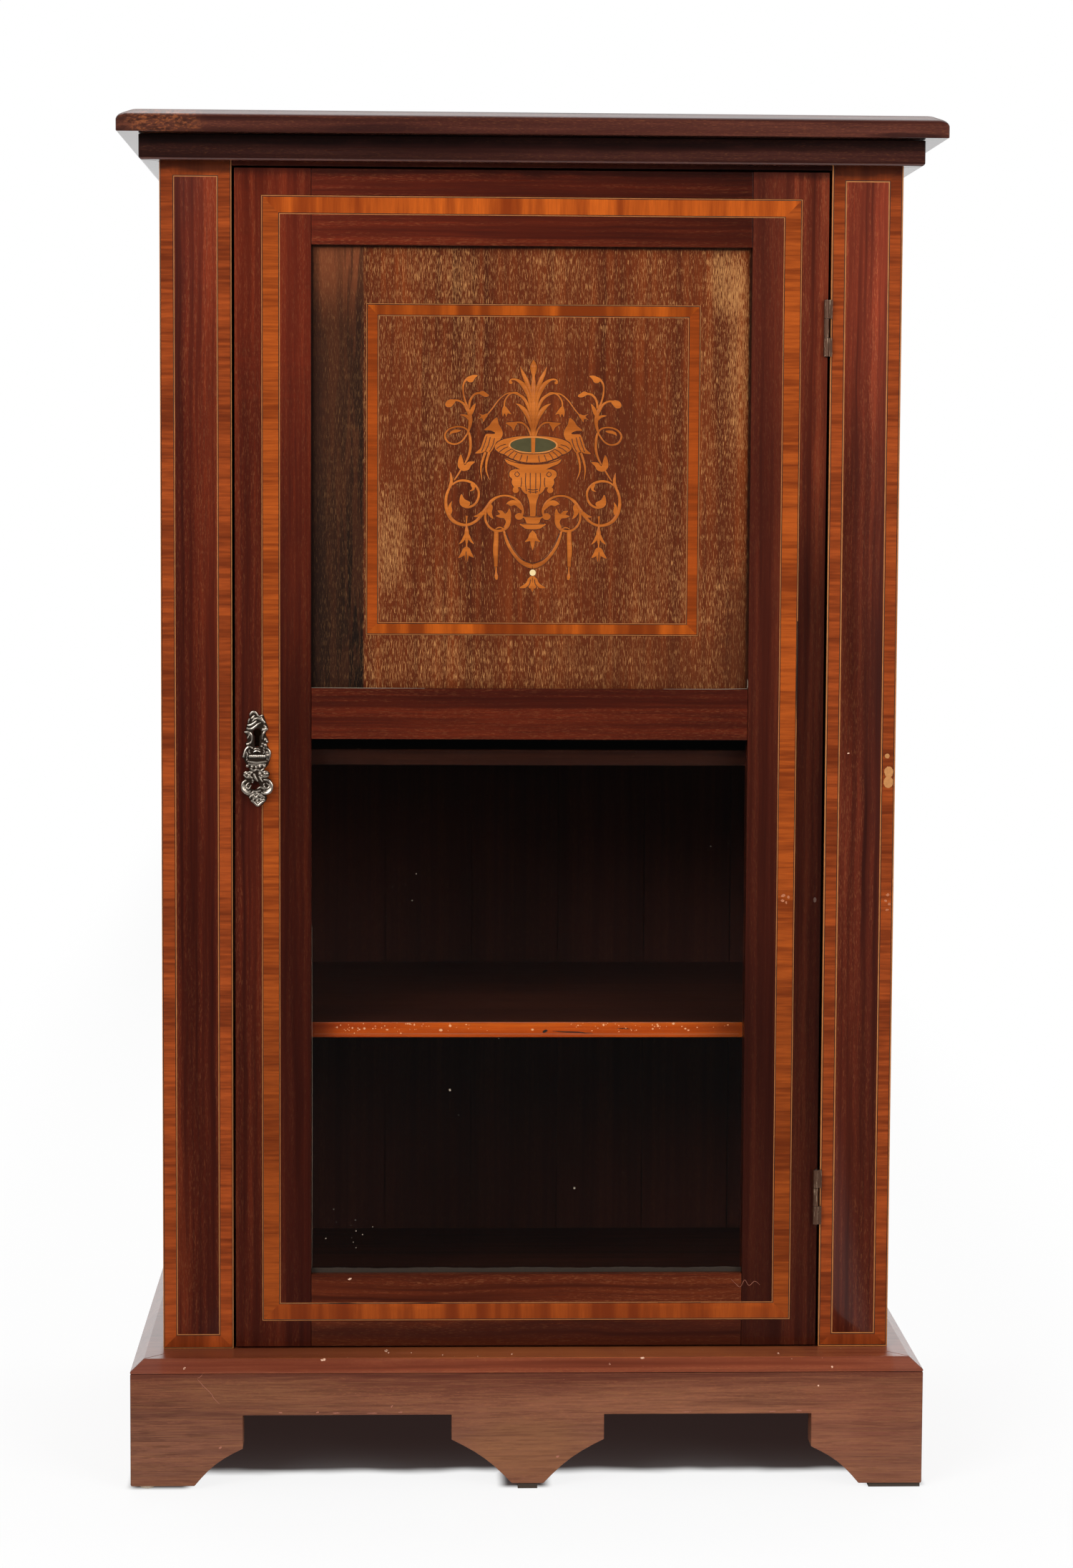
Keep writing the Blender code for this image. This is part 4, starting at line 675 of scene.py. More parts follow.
materials = {
    "upright": wood("mahoganyUpright", "mahogany", "z", 1, parts=0.1845),
    "uprightB": wood("mahoganyUprightSecond", "hinge", "z", 2, parts=0.1845, veil=0.62),
    "stile": wood("mahoganyStile", "mahogany", "z", 3),
    "stileB": wood("mahoganyStileSecond", "hinge", "z", 4),
    "level": wood("mahoganyLevel", "deep", "x", 5),
    "levelB": wood("mahoganyLevelSecond", "deep", "x", 6),
    "levelC": wood("mahoganyLevelThird", "bottom", "x", 17, wave=0.008),
    "side": wood("mahoganySide", "mahogany", "z", 7),
    "plinth": wood("plinthWood", "plinth", "x", 8, 0.42, 0.1, wave=0.010),
    "cap": wood("capWood", "cap", "x", 9, 0.30, 1.0, gloss=0.24, relief=0.06),
    "top": wood("topWood", "top", "x", 10, 0.30, 0.13, gloss=0.2, relief=0.04),
    "underTop": wood("underTopWood", "top", "x", 18, 0.25, 1.0, gloss=0.14, relief=0.04),
    "cornice": wood("corniceWood", "cornice", "x", 19, 0.30, 0.3),
    "panel": wood("panelWood", "panel", "z", 11, 0.45, 0.1),
    "raw": wood("rawWood", "raw", "z", 12, 0.7, 0.0),
    "inside": wood("insideWood", "inside", "x", 13, 0.5, 0.0),
    "shelf": wood("shelfWood", "inside", "x", 14, 0.35, 0.2),
    "shelfDark": wood("shelfWoodSecond", "inside", "x", 16, 0.35, 0.2),
    "shelfEdge": wood("shelfEdge", "edge", "x", 15, 0.45, 0.1),
    "satinLevel": satinwood("satinwoodLevel", "x", ((126, 48, 8), (196, 92, 21)), 1, 0.40, "satin"),
    "satinUpright": satinwood("satinwoodUpright", "z", ((112, 44, 9), (172, 80, 21)), 2, 0.15),
    "panelLevel": satinwood("panelSatinwoodLevel", "x", ((116, 46, 6), (184, 86, 14)), 4, 0.5),
    "panelUpright": satinwood("panelSatinwoodUpright", "z", ((118, 47, 7), (164, 71, 13)), 5, 0.2),
    "stileLevel": satinwood("stileSatinwoodLevel", "x", ((100, 38, 10), (156, 68, 22)), 6, 0.35, "stile"),
    "stileUpright": satinwood("stileSatinwoodUpright", "z", ((102, 39, 11), (164, 73, 24)), 7, 0.15, "stile"),
    "boxwood": plain("boxwoodLine", (172, 106, 50), 0.38, spread=0.4, scale=160),
    "ebony": plain("ebonyLine", (32, 16, 10), 0.35),
    "marquetry": satinwood("marquetryWood", "z", ((150, 76, 22), (204, 114, 42)), 3, coat=0.04),
    "marquetryPale": plain("marquetryPale", (200, 120, 48), 0.4),
    "scorched": plain("scorchedLine", (66, 26, 8), 0.4),
    "greenStain": plain("greenStain", (72, 66, 32), 0.4, spread=0.3, scale=300),
    "pearl": plain("pearlDot", (232, 205, 150), 0.3),
    "brass": plain("agedBrass", (128, 98, 70), 0.36, 0.9, spread=0.45, scale=500),
    "paleChip": plain("paleChip", (226, 180, 152), 0.7),
    # rubbed wear, and painted highlights along the shelf edge's arrises
    "rubbed": plain("rubbedEdge", (160, 98, 76), 0.6, spread=0.3, scale=400),
    "scar": plain("scarredVeneer", (176, 102, 62), 0.6, spread=0.3, scale=600),
    "greyMark": plain("greyMark", (80, 52, 40), 0.6, spread=0.25, scale=500),
    "filler": plain("paleFiller", (184, 122, 62), 0.6, spread=0.3, scale=500),
    "dirt": plain("gatheredDirt", (50, 38, 28), 0.9, spread=0.5, scale=500),
    # dust, and painted glints along the middle rail's arris
    "dust": plain("dust", (150, 136, 118), 0.9),
    "wornEdge": plain("wornEdge", (244, 178, 130), 0.6, spread=0.2, scale=500),
    "crack": plain("crack", (26, 10, 6), 0.9),
    "nickel": plain("oldNickel", (214, 204, 190), 0.26, 1.0, spread=0.25, scale=700),
    "steel": plain("steel", (140, 136, 130), 0.40, 1.0),
    "pad": plain("padWood", (60, 48, 38), 0.8),
    "glide": plain("paleGlide", (206, 192, 172), 0.5),
}


metalLook = {
    # a pair is the level of a step and how soft it is, in metres for the relief
    "cloudNoise": ((900, 900, 900), 4, 0.6), "bump": (0.3, 0.1 * mm),
    "relief": (0.28 * mm, 0.5 * mm), "reliefWander": 0.5 * mm,
    "hollow": (62, 50, 42), "dull": (166, 150, 134), "bright": (232, 220, 206),
    "hollowRoughness": 0.54, "raisedSmoother": 0.20, "uneven": 0.15,
    "streakNoise": ((1300, 1300, 90), 3, 0.6), "streaks": (0.60, 0.16),
    "patchNoise": ((400, 400, 400), 3, 0.6), "patches": (0.45, 0.3),
    "rubbedRoughness": 0.5, "streaksSmoother": 0.15, "rubbedMetallic": 0.75,
}


def castMetal(name, front):
    # bright where the relief stands up, dark in its hollows
    look = metalLook
    finish = Finish(name, Metallic=1.0)
    here = finish.place()
    proud = finish.axes(here)[1] * -1 + front
    cloud = finish.noise(here, *look["cloudNoise"])
    raised = (proud + (cloud - 0.5) * look["reliefWander"]).above(*look["relief"])
    metal = finish.mix(cloud, linear(*look["dull"]), linear(*look["bright"]))
    roughness = look["hollowRoughness"] - raised * look["raisedSmoother"]
    finish.set(
        Base_Color=finish.mix(raised, linear(*look["hollow"]), metal),
        Roughness=roughness + (cloud - 0.5) * look["uneven"],
        Normal=finish.bump(cloud, *look["bump"]),
    )
    return finish.material


def rubbedMetal(name, dark, bright):
    # brown with age; its bright upright streaks are partly rubbed wear and partly painted highlights along
    # the knuckle
    look = metalLook
    finish = Finish(name, Metallic=look["rubbedMetallic"])
    here = finish.place()
    streak = finish.noise(here, *look["streakNoise"]).above(*look["streaks"])
    rubbed = streak * finish.noise(here, *look["patchNoise"]).above(*look["patches"])
    colour = finish.mix(rubbed, linear(*dark), linear(*bright))
    finish.set(Base_Color=colour, Roughness=look["rubbedRoughness"] - streak * look["streaksSmoother"])
    return finish.material


def clearGlass(name):
    clear = {"Transmission_Weight": 1.0, "Roughness": 0.02, "IOR": 1.45}
    return Finish(name, Base_Color=(0.9, 0.93, 0.9), **clear).material


materials["glass"] = clearGlass("glassPane")
materials["hinge"] = rubbedMetal("hingeMetal", (104, 74, 58), (210, 180, 150))
print("finishes:", len(materials))


def addPiece(name, mesh, body, replaced=()):
    piece = bpy.data.objects.new(name, mesh)
    bpy.context.scene.collection.objects.link(piece)
    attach(piece, body)
    if replaced:
        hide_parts(*replaced)
    return piece


sharpFrom = 38  # degrees: an edge that turns more than this stays sharp on a smooth piece


def newPiece(name, bm, body, finishes, replaced=(), smooth=False):
    mesh = bpy.data.meshes.new(name)
    bm.to_mesh(mesh)
    bm.free()
    for key in finishes:
        mesh.materials.append(materials[key])
    piece = addPiece(name, mesh, body, replaced)
    if smooth:
        mesh.shade_smooth()
        mesh.set_sharp_from_angle(angle=math.radians(sharpFrom))
    return piece


boards = {
    # node: (finish, slot, radius of the arris in mm)
    "stile_left": ("stile", "mahogany", 0.5),
    "stile_right": ("stileB", "mahogany", 0.5),
    "side_left": ("side", "mahogany", 0.5),
    "side_right": ("side", "mahogany", 0.5),
    "top_rail": ("level", "mahogany", 0.3),
    "top_board": ("top", "mahogany", 3.4),
    "cornice_front": ("cornice", "mahogany", 0.5),
    "cornice_left": ("cornice", "mahogany", 0.5),
    "cornice_right": ("cornice", "mahogany", 0.5),
    "plinth_front": ("plinth", "plinth_mahogany", 0.4),
    "plinth_left": ("plinth", "plinth_mahogany", 0.8),
    "plinth_right": ("plinth", "plinth_mahogany", 0.8),
    "plinth_back": ("plinth", "plinth_mahogany", 0.5),
    "base_cap_front": ("cap", "plinth_mahogany", 0.3),
    "base_cap_left": ("cap", "plinth_mahogany", 0.3),
    "base_cap_right": ("cap", "plinth_mahogany", 0.3),
    "base_cap_back": ("cap", "plinth_mahogany", 0.5),
    "door_stile_lock": ("upright", "mahogany", 0.3),
    "door_stile_hinge": ("uprightB", "mahogany", 0.3),
    "door_rail_top": ("level", "mahogany", 0.3),
    "door_rail_middle": ("levelB", "mahogany", 0.3),
    "door_rail_bottom": ("levelC", "mahogany", 0.3),
    "shelf_lower": ("shelf", "shelf_wood", 0.8),
    # the middle and upper shelves keep the dark inside wood on their fronts: painted shade
    "shelf_middle": ("shelfDark", "shelf_wood", 0.8),
    "shelf_upper": ("shelfDark", "shelf_wood", 0.8),
}


boardLook = {
    "weld": 0.01 * mm, "flat": 1,   # how far apart points and, in degrees, faces count as one
    "facing": -0.7,                 # a face turned this far to the front or downwards has its own finish
    "corner": 25,                   # in degrees: sharper edges than this are eased
    "steps": 2, "wornSteps": 5,     # flats round an arris
}
# node: above this height the arrises are worn round, and below it this much less
wornRound = {"top_board": (0.9695, 0.25)}


def easedBoard(node):
    finish, slot, radius = boards[node]
    look = boardLook
    bm = bmesh.new()
    bm.from_mesh(nodes[node].data)
    bmesh.ops.remove_doubles(bm, verts=bm.verts, dist=look["weld"])
    bmesh.ops.dissolve_limit(bm, angle_limit=math.radians(look["flat"]), verts=bm.verts, edges=bm.edges)
    for face in bm.faces:
        toFront, downwards = face.normal.y < look["facing"], face.normal.z < look["facing"]
        face.material_index = 2 if downwards else int(toFront)
    if node in wornRound:
        level, less = wornRound[node]
        weight = bm.edges.layers.float.new("bevel_weight_edge")
        for edge in bm.edges:
            edge[weight] = 1.0 if min(vert.co.z for vert in edge.verts) > level else less
    # only the lower shelf's front gets the bright edge, partly painted light; the other fronts stay dark as
    # painted shade
    front = "shelfEdge" if finish == "shelf" else finish
    under = "underTop" if finish in ("top", "cornice") else finish
    piece = newPiece(node + "_eased", bm, nodes[node]["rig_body"], [finish, front, under], [node], True)
    bevel = piece.modifiers.new("arris", "BEVEL")
    bevel.width = radius * mm
    bevel.segments = look["wornSteps" if node in wornRound else "steps"]
    bevel.limit_method = "WEIGHT" if node in wornRound else "ANGLE"
    bevel.angle_limit = math.radians(look["corner"])
    bevel.harden_normals = True


def dressNode(node, finish):
    mesh = nodes[node].data
    mesh.materials.clear()
    mesh.materials.append(materials[finish])


plainNodes = {
    "door_panel": "panel", "glass_pane": "glass",
    "back_panel": "raw", "carcass_top": "inside", "bottom_board": "inside", "door_stop": "inside",
    "corner_block_left": "raw", "corner_block_right": "raw",
    "panel_bead": "level", "glazing_bead": "level",
    "pad_front_right": "pad", "pad_front_middle": "pad", "pad_back_left": "pad", "pad_back_right": "pad",
    "glide_front_left": "glide",
    "lock_case": "brass", "lock_bolt": "brass", "strike_plate": "brass",
    "hinge_leaf_door_top": "hinge", "hinge_leaf_door_bottom": "hinge",
    "hinge_leaf_frame_top": "hinge", "hinge_leaf_frame_bottom": "hinge",
    "hinge_pin_top": "steel", "hinge_pin_bottom": "steel", "pull_pin": "steel",
}
nodes["glass_pane"].visible_shadow = False  # clear glass lets the lamps shine straight in
for node in boards:
    easedBoard(node)
for node, finish in plainNodes.items():
    dressNode(node, finish)
print("boards:", len(boards))


strips = ("boxwood", "ebony", "satin", "ebony", "boxwood")
inlay = {
    # widths of the strips in mm, from the outer edge inwards
    "stile_banding_left": (0.5, 0.5, 8.3, 0.5, 0.6),
    "stile_banding_right": (0.9, 0.5, 7.7, 0.5, 0.8),
    "door_banding": (0.5, 0.5, 11.0, 0.5, 0.5),
    "panel_banding": (0.4, 0.5, 7.0, 0.5, 0.4),
}
# how much wider a ring is along its top, in mm
topExtra = {"stile_banding_left": 3.3, "stile_banding_right": 3.3}
ringVeneer = {"panel_banding": "panel", "door_banding": "satin"}
ringProud = 0.02 * mm
stripFinishes = ["boxwood", "ebony"]
stripFinishes += [kind + way for kind in ("satin", "panel", "stile") for way in ("Upright", "Level")]


def addSlab(bm, outline, front, back, finish):
    # a closed slab between two depths, with its outline given as (x, z)
    top = [bm.verts.new((x, front, z)) for x, z in outline]
    low = [bm.verts.new((x, back, z)) for x, z in outline]
    faces = [bm.faces.new(top), bm.faces.new(low[::-1])]
    for a in range(len(outline)):
        b = (a + 1) % len(outline)
        faces.append(bm.faces.new((top[b], top[a], low[a], low[b])))
    for face in faces:
        face.material_index = finish


def corners(left, right, low, high):
    return (left, low), (right, low), (right, high), (left, high)


def inlaidRing(node):
    # concentric mitred frames of thin strips, let into the wood
    bm = bmesh.new()
    start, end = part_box(node)
    rect = start.x, end.x, start.z, end.z
    for width, finish in zip(inlay[node], strips):
        left, right, low, high = rect
        step = width * mm
        drop = step + (topExtra.get(node, 0) * mm if finish == "satin" else 0)
        inside = left + step, right - step, low + step, high - drop
        outer, inner = corners(*rect), corners(*inside)
        for index in range(4):
            following = (index + 1) % 4
            mitred = outer[index], outer[following], inner[following], inner[index]
            way = "Level" if index % 2 == 0 else "Upright"
            key = ringVeneer.get(node, "stile") + way if finish == "satin" else finish
            addSlab(bm, mitred, start.y - ringProud, end.y, stripFinishes.index(key))
        rect = inside
    newPiece(node + "_strips", bm, nodes[node]["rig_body"], stripFinishes, [node])


for node in inlay:
    inlaidRing(node)
print("inlay")


sketch = {
    # the drawing's own units: where the axis and the square's centre lie, and the size of one unit
    "axis": 768, "centre": 729.7, "unit": 0.1227 * mm,
    "spacing": 0.5 * mm, "sink": 0.3 * mm, "lift": 0.12 * mm, "lineLift": 0.2 * mm,
    "weld": 0.002 * mm, "scrollCorners": 20,
    "layers": 12, "layer": 0.006 * mm,
    "glueLine": 2.6, "wideGlueLine": 3.64,  # how far the dark line shows round a leaf and round the urn
    "glueProud": 0.02 * mm, "lineHalf": 2.0,
    "leafProud": 0.09 * mm, "leafStep": 0.01 * mm,
    "gapProud": 0.11 * mm, "urnGapProud": 0.125 * mm, "gapStep": 0.004 * mm,
}
middleStems = (
    # a run of places, each with half its width
    ((768, 628, 10), (768, 560, 12), (768, 500, 16), (768, 430, 20), (768, 350, 22), (768, 285, 19),
     (768, 235, 14), (768, 200, 9), (768, 182, 9), (768, 160, 16), (768, 132, 20), (768, 110, 12),
     (768, 93, 1)),
    ((768, 1076, 5), (768, 1100, 11), (768, 1135, 14), (768, 1165, 10), (768, 1192, 1)),
    ((768, 1342, 8), (768, 1370, 11), (768, 1395, 13), (768, 1418, 9), (768, 1434, 1)),
)
sideStems = (
    ((757, 335, 5), (748, 275, 11), (728, 215, 13), (706, 168, 9), (690, 130, 1)),
    ((752, 400, 5), (745, 320, 10), (722, 258, 15), (692, 222, 11), (662, 206, 6), (638, 208, 5),
     (630, 222, 6), (640, 228, 7)),
    ((757, 440, 4), (742, 375, 8), (715, 318, 9), (668, 288, 6), (615, 288, 4), (570, 322, 4), (530, 375, 4),
     (500, 412, 4)),
    ((700, 300, 3), (668, 282, 5), (630, 292, 5), (604, 328, 5), (600, 360, 5)),
    ((757, 490, 5), (742, 430, 12), (718, 385, 14), (690, 357, 8), (666, 345, 1)),
    ((757, 545, 4), (740, 492, 6), (708, 458, 6), (668, 454, 5), (642, 462, 5)),
    ((372, 695, 4), (394, 650, 7), (405, 600, 8), (403, 545, 8), (395, 510, 6)),
    ((388, 520, 5), (402, 470, 10), (403, 430, 13), (392, 385, 10), (375, 335, 6), (363, 285, 5),
     (364, 235, 6), (385, 203, 7), (405, 195, 8)),
    ((388, 392, 7), (366, 350, 7), (335, 330, 6), (300, 330, 6)),
    ((396, 372, 7), (404, 325, 7), (430, 292, 7), (468, 285, 7)),
    ((396, 508, 6), (368, 485, 5), (325, 480, 5), (280, 495, 5), (257, 530, 6), (275, 568, 6), (318, 580, 5),
     (358, 560, 5), (388, 518, 5)),
    ((352, 725, 5), (336, 752, 5), (312, 788, 3)),
    ((290, 740, 1), (294, 765, 7), (296, 795, 9), (284, 830, 8)),
    ((304, 800, 5), (276, 850, 8), (264, 905, 9), (272, 965, 11), (300, 1015, 11), (342, 1040, 9),
     (390, 1045, 8), (435, 1025, 8), (468, 990, 10), (498, 950, 11), (530, 905, 9), (572, 880, 6),
     (620, 876, 6), (662, 890, 7), (696, 922, 8), (710, 962, 8), (704, 990, 7)),
    ((300, 815, 4), (332, 794, 6), (378, 790, 7), (424, 808, 7), (452, 846, 7), (452, 888, 7), (432, 925, 7),
     (395, 943, 7), (365, 935, 8)),
    ((497, 960, 6), (493, 1010, 7), (512, 1052, 7), (548, 1077, 7), (590, 1076, 8), (622, 1052, 9),
     (634, 1015, 8), (630, 985, 5)),
    ((552, 1068, 3), (578, 1058, 4), (604, 1070, 3)),
    ((385, 992, 8), (384, 1020, 4), (384, 1050, 5), (386, 1085, 13), (386, 1125, 11), (385, 1160, 4),
     (386, 1190, 9), (386, 1215, 14), (385, 1245, 9), (383, 1268, 1)),
    ((492, 625, 8), (476, 670, 7), (466, 725, 5), (473, 792, 1)),
    ((514, 625, 8), (499, 680, 7), (498, 735, 5), (517, 786, 1)),
    ((600, 1078, 6), (622, 1140, 12), (655, 1200, 13), (700, 1252, 14), (740, 1275, 15), (768, 1280, 16)),
    ((557, 1078, 13), (556, 1130, 14), (553, 1190, 15), (555, 1245, 12), (555, 1286, 10)),
    ((557, 1288, 5), (557, 1320, 6), (558, 1342, 11), (560, 1362, 5)),
)
# the outlines of leaves, buds and birds on the left, drawn again on the right
sideShapes = (
    ((400, 225), (384, 214), (396, 192), (420, 181), (446, 184), (430, 200), (418, 220)),
    ((258, 350), (272, 328), (300, 322), (318, 334), (306, 352), (290, 368), (266, 366)),
    ((452, 284), (474, 272), (492, 282), (512, 298), (496, 308), (470, 300)),
    ((392, 440), (374, 424), (342, 412), (366, 408), (386, 412), (400, 426)),
    ((404, 420), (402, 385), (414, 362), (434, 344), (430, 372), (420, 400)),
    ((352, 500), (318, 496), (290, 508), (284, 530), (300, 518), (330, 512)),
    ((352, 730), (332, 706), (336, 666), (350, 638), (362, 668), (372, 702), (392, 682), (432, 680),
     (410, 702), (398, 724), (374, 734)),
    ((346, 884), (356, 868), (372, 896), (404, 914), (396, 938), (366, 944), (344, 922)),
    ((400, 850), (416, 836), (406, 812), (418, 808), (432, 826), (424, 846)),
    ((300, 908), (282, 930), (276, 962), (292, 986), (302, 962), (296, 935)),
    ((424, 996), (448, 984), (476, 964), (488, 976), (470, 994), (444, 1000)),
    ((612, 924), (634, 904), (664, 902), (692, 922), (708, 962), (690, 950), (664, 930), (640, 936),
     (624, 926)),
    ((664, 992), (680, 976), (700, 978), (712, 998), (700, 1012), (676, 1012)),
    ((632, 948), (642, 978), (638, 1016), (622, 1048), (600, 1058), (612, 1028), (600, 1006), (580, 1004),
     (552, 992), (578, 982), (562, 962), (590, 962), (606, 978), (620, 970)),
    ((520, 920), (536, 940), (530, 975), (540, 1010), (516, 994), (502, 968), (512, 942)),
    ((380, 1110), (370, 1138), (342, 1156), (358, 1128), (374, 1096)),
    ((392, 1110), (402, 1138), (428, 1156), (413, 1128), (398, 1096)),
    ((384, 1172), (366, 1180), (352, 1208), (336, 1238), (362, 1228), (384, 1216), (408, 1228), (428, 1234),
     (414, 1206), (402, 1180)),
    ((500, 402), (476, 410), (448, 402), (466, 418), (446, 438), (472, 430), (478, 452), (492, 432),
     (504, 416)),
    ((596, 358), (586, 388), (592, 422), (602, 402), (612, 424), (620, 402), (642, 408), (626, 384),
     (608, 362)),
    ((660, 452), (636, 452), (606, 456), (626, 470), (642, 482), (654, 504), (664, 478), (676, 462)),
    ((766, 1082), (748, 1096), (740, 1120), (722, 1142), (746, 1138), (764, 1130)),
    ((768, 1340), (744, 1352), (728, 1382), (690, 1408), (724, 1410), (742, 1398), (752, 1412), (766, 1400)),
    ((558, 424), (568, 462), (584, 488), (592, 520), (578, 552), (556, 566), (540, 598), (518, 628),
     (490, 620), (470, 630), (432, 632), (462, 604), (476, 566), (488, 534), (500, 520), (540, 520),
     (546, 512), (520, 500), (484, 498), (500, 482), (516, 468), (530, 446)),
)
# the urn from above downwards
middleShapes = (
    ((546, 602), (556, 574), (598, 550), (680, 534), (768, 530), (856, 534), (938, 550), (980, 574),
     (990, 602), (966, 626), (930, 640), (905, 655), (860, 672), (815, 682), (768, 684), (721, 682),
     (676, 672), (631, 655), (606, 640), (570, 626)),
    ((604, 660), (640, 668), (700, 690), (768, 696), (836, 690), (896, 668), (932, 660), (918, 688),
     (878, 706), (846, 722), (816, 742), (768, 746), (720, 742), (690, 722), (658, 706), (618, 688)),
    ((662, 722), (700, 726), (736, 742), (800, 742), (836, 726), (874, 722), (902, 736), (904, 762),
     (888, 780), (892, 800), (872, 830), (842, 826), (828, 848), (800, 868), (736, 868), (708, 848),
     (694, 826), (664, 830), (644, 800), (648, 780), (632, 762), (634, 736)),
    ((736, 866), (800, 866), (792, 900), (786, 940), (782, 994), (754, 994), (750, 940), (744, 900)),
    ((714, 994), (822, 994), (812, 1012), (800, 1034), (736, 1034), (724, 1012)),
    ((698, 1036), (838, 1036), (824, 1056), (800, 1068), (736, 1068), (712, 1056)),
)
# place and radius on the left, drawn again on the right
smallScrolls = ((668, 842, 18), (637, 224, 9))
rounds = (
    # place, half width, half height, corners, how far it stands out, finish
    (768, 583, 142, 50, 36, 0.0, "marquetryPale"),
    (768, 583, 133, 42, 36, 0.02 * mm, "greenStain"),
    (769, 1320, 18, 18, 20, 0.0, "pearl"),
)
basinStem = ((756, 540), (780, 540), (778, 628), (758, 628))
basinStemProud = 0.04 * mm
leafFinishes = ("marquetry", "marquetryPale", "greenStain", "pearl", "scorched")
scorched = (
    # the dark lines drawn on the urn and the birds, on the left and again on the right
    ((556, 606), (580, 588), (610, 580)),
    ((572, 624), (598, 604), (622, 594)),
    ((596, 640), (618, 620), (640, 608)),
    ((622, 652), (640, 632), (656, 620)),
    ((652, 664), (664, 644), (676, 630)),
    ((690, 674), (698, 654), (704, 638)),
    ((730, 680), (734, 660), (736, 644)),
    ((606, 662), (660, 682), (720, 692), (768, 694)),
    ((640, 604), (690, 628), (768, 634)),
    ((726, 744), (724, 800), (730, 850)),
    ((752, 744), (752, 800), (752, 862)),
    ((700, 770), (702, 800), (698, 824)),
    ((676, 736), (690, 752), (676, 766), (662, 752), (672, 738)),
    ((738, 838), (768, 842)),
    ((740, 852), (768, 855)),
    ((718, 996), (768, 998)),
    ((702, 1038), (768, 1040)),
    ((500, 534), (486, 580), (470, 622)),
    ((520, 538), (508, 585), (492, 618)),
    ((544, 545), (534, 585), (516, 620)),
    ((486, 512), (512, 506), (542, 514)),
    ((612, 1092), (648, 1172), (702, 1240), (768, 1268)),
    ((382, 1200), (384, 1250), (384, 1262)),
    ((756, 1360), (752, 1385), (742, 1398)),
)


def newTree(name, inputs):
    group = bpy.data.node_groups.new(name, "GeometryNodeTree")
    for label, kind in inputs:
        group.interface.new_socket(label, in_out="INPUT", socket_type="NodeSocket" + kind)
    group.interface.new_socket("Made", in_out="OUTPUT", socket_type="NodeSocketGeometry")
    tree = Tree(group)
    return group, tree, tree.add("NodeGroupInput")


def endTree(group, tree, made, finish):
    real = tree.add("GeometryNodeRealizeInstances", {}, {"Geometry": made})
    done = tree.add("GeometryNodeSetMaterial", {}, {"Geometry": real, "Material": finish})
    group.links.new(done.socket, tree.add("NodeGroupOutput").inputs[0])


def makeStemTree():
    # grows flat tapering stems along the curves of the drawing
    group, tree, asked = newTree("inlaidStems", (
        ("Curves", "Geometry"), ("Spacing", "Float"), ("Thickness", "Float"), ("Place", "Vector"),
        ("Finish", "Material"),
    ))
    spacing, thickness, place, finish = (asked.output(index) for index in range(1, 5))
    smooth = tree.add("GeometryNodeCurveSplineType", {"spline_type": "CATMULL_ROM"}, {"Curve": asked})
    even = tree.add("GeometryNodeResampleCurve", {"mode": "LENGTH"}, {"Curve": smooth, "Length": spacing})
    upright = tree.add("GeometryNodeSetCurveNormal", {"mode": "Z_UP"}, {"Curve": even})
    edge = tree.add("GeometryNodeCurvePrimitiveLine", {}, {"Start": (-1, 0, 0), "End": (1, 0, 0)})
    half = tree.add("GeometryNodeInputRadius")
    flat = tree.add("GeometryNodeCurveToMesh", {}, {"Curve": upright, "Profile Curve": edge, "Scale": half})
    offset = tree.add("ShaderNodeCombineXYZ", {}, {"Z": thickness})
    whole = {"Mesh": flat, "Offset": offset, "Individual": False}
    raised = tree.add("GeometryNodeExtrudeMesh", {"mode": "FACES"}, whole)
    under = tree.add("GeometryNodeFlipFaces", {}, {"Mesh": flat})
    both = tree.add("GeometryNodeJoinGeometry")
    for part in (raised, under):
        group.links.new(part.socket, both.socket.node.inputs[0])
    closed = tree.add("GeometryNodeMergeByDistance", {}, {"Geometry": both, "Distance": sketch["weld"]})
    upwards = {"Rotation": (math.pi / 2, 0, 0), "Translation": place}
    endTree(group, tree, tree.add("GeometryNodeTransform", {}, {"Geometry": closed, **upwards}), finish)
    return group


def grown(name, start, group, **inputs):
    # the tree's result as a plain mesh, with the modifier gone
    bpy.context.scene.collection.objects.link(start)
    step = start.modifiers.new("grown", "NODES")
    step.node_group = group
    for item in group.interface.items_tree:
        if item.in_out == "INPUT" and item.name in inputs:
            step[item.identifier] = inputs[item.name]
    deps = bpy.context.evaluated_depsgraph_get()
    mesh = bpy.data.meshes.new_from_object(start.evaluated_get(deps), depsgraph=deps)
    bpy.data.objects.remove(start)
    bm = bmesh.new()
    bm.from_mesh(mesh)
    bmesh.ops.recalc_face_normals(bm, faces=bm.faces)
    bm.to_mesh(mesh)
    bm.free()
    mesh.name = name
    return mesh


def flipped(run):
    return tuple((2 * sketch["axis"] - u, *rest) for u, *rest in run)


def onSketch(u, v):
    return (u - sketch["axis"]) * sketch["unit"], (sketch["centre"] - v) * sketch["unit"]


def newCurves(name, runs):
    # each run is a row of places, each with its radius
    data = bpy.data.curves.new(name, "CURVE")
    data.dimensions = "3D"
    for run in runs:
        spline = data.splines.new("POLY")
        spline.points.add(len(run) - 1)
        for point, (place, radius) in zip(spline.points, run):
            point.co = (*place, 1)
            point.radius = radius
    return bpy.data.objects.new(name, data)


def drawnCurves(name, runs):
    # each run is a row of (x, z, half width), in metres; stems that cross lie at slightly different heights
    layered = []
    for index, run in enumerate(runs):
        height = (1 + index % sketch["layers"]) * sketch["layer"]
        layered.append([((x, z, height), half) for x, z, half in run])
    return newCurves(name, layered)


def sketchedCurves(name, runs):
    unit = sketch["unit"]
    return drawnCurves(name, [[(*onSketch(u, v), half * unit) for u, v, half in run] for run in runs])


def curveThrough(a, b, c, d, t):
    # a place between b and c on a smooth curve through all four
    return b + ((c - a) * t + (2 * a - 5 * b + 4 * c - d) * t * t + (3 * b - a - 3 * c + d) * t ** 3) / 2


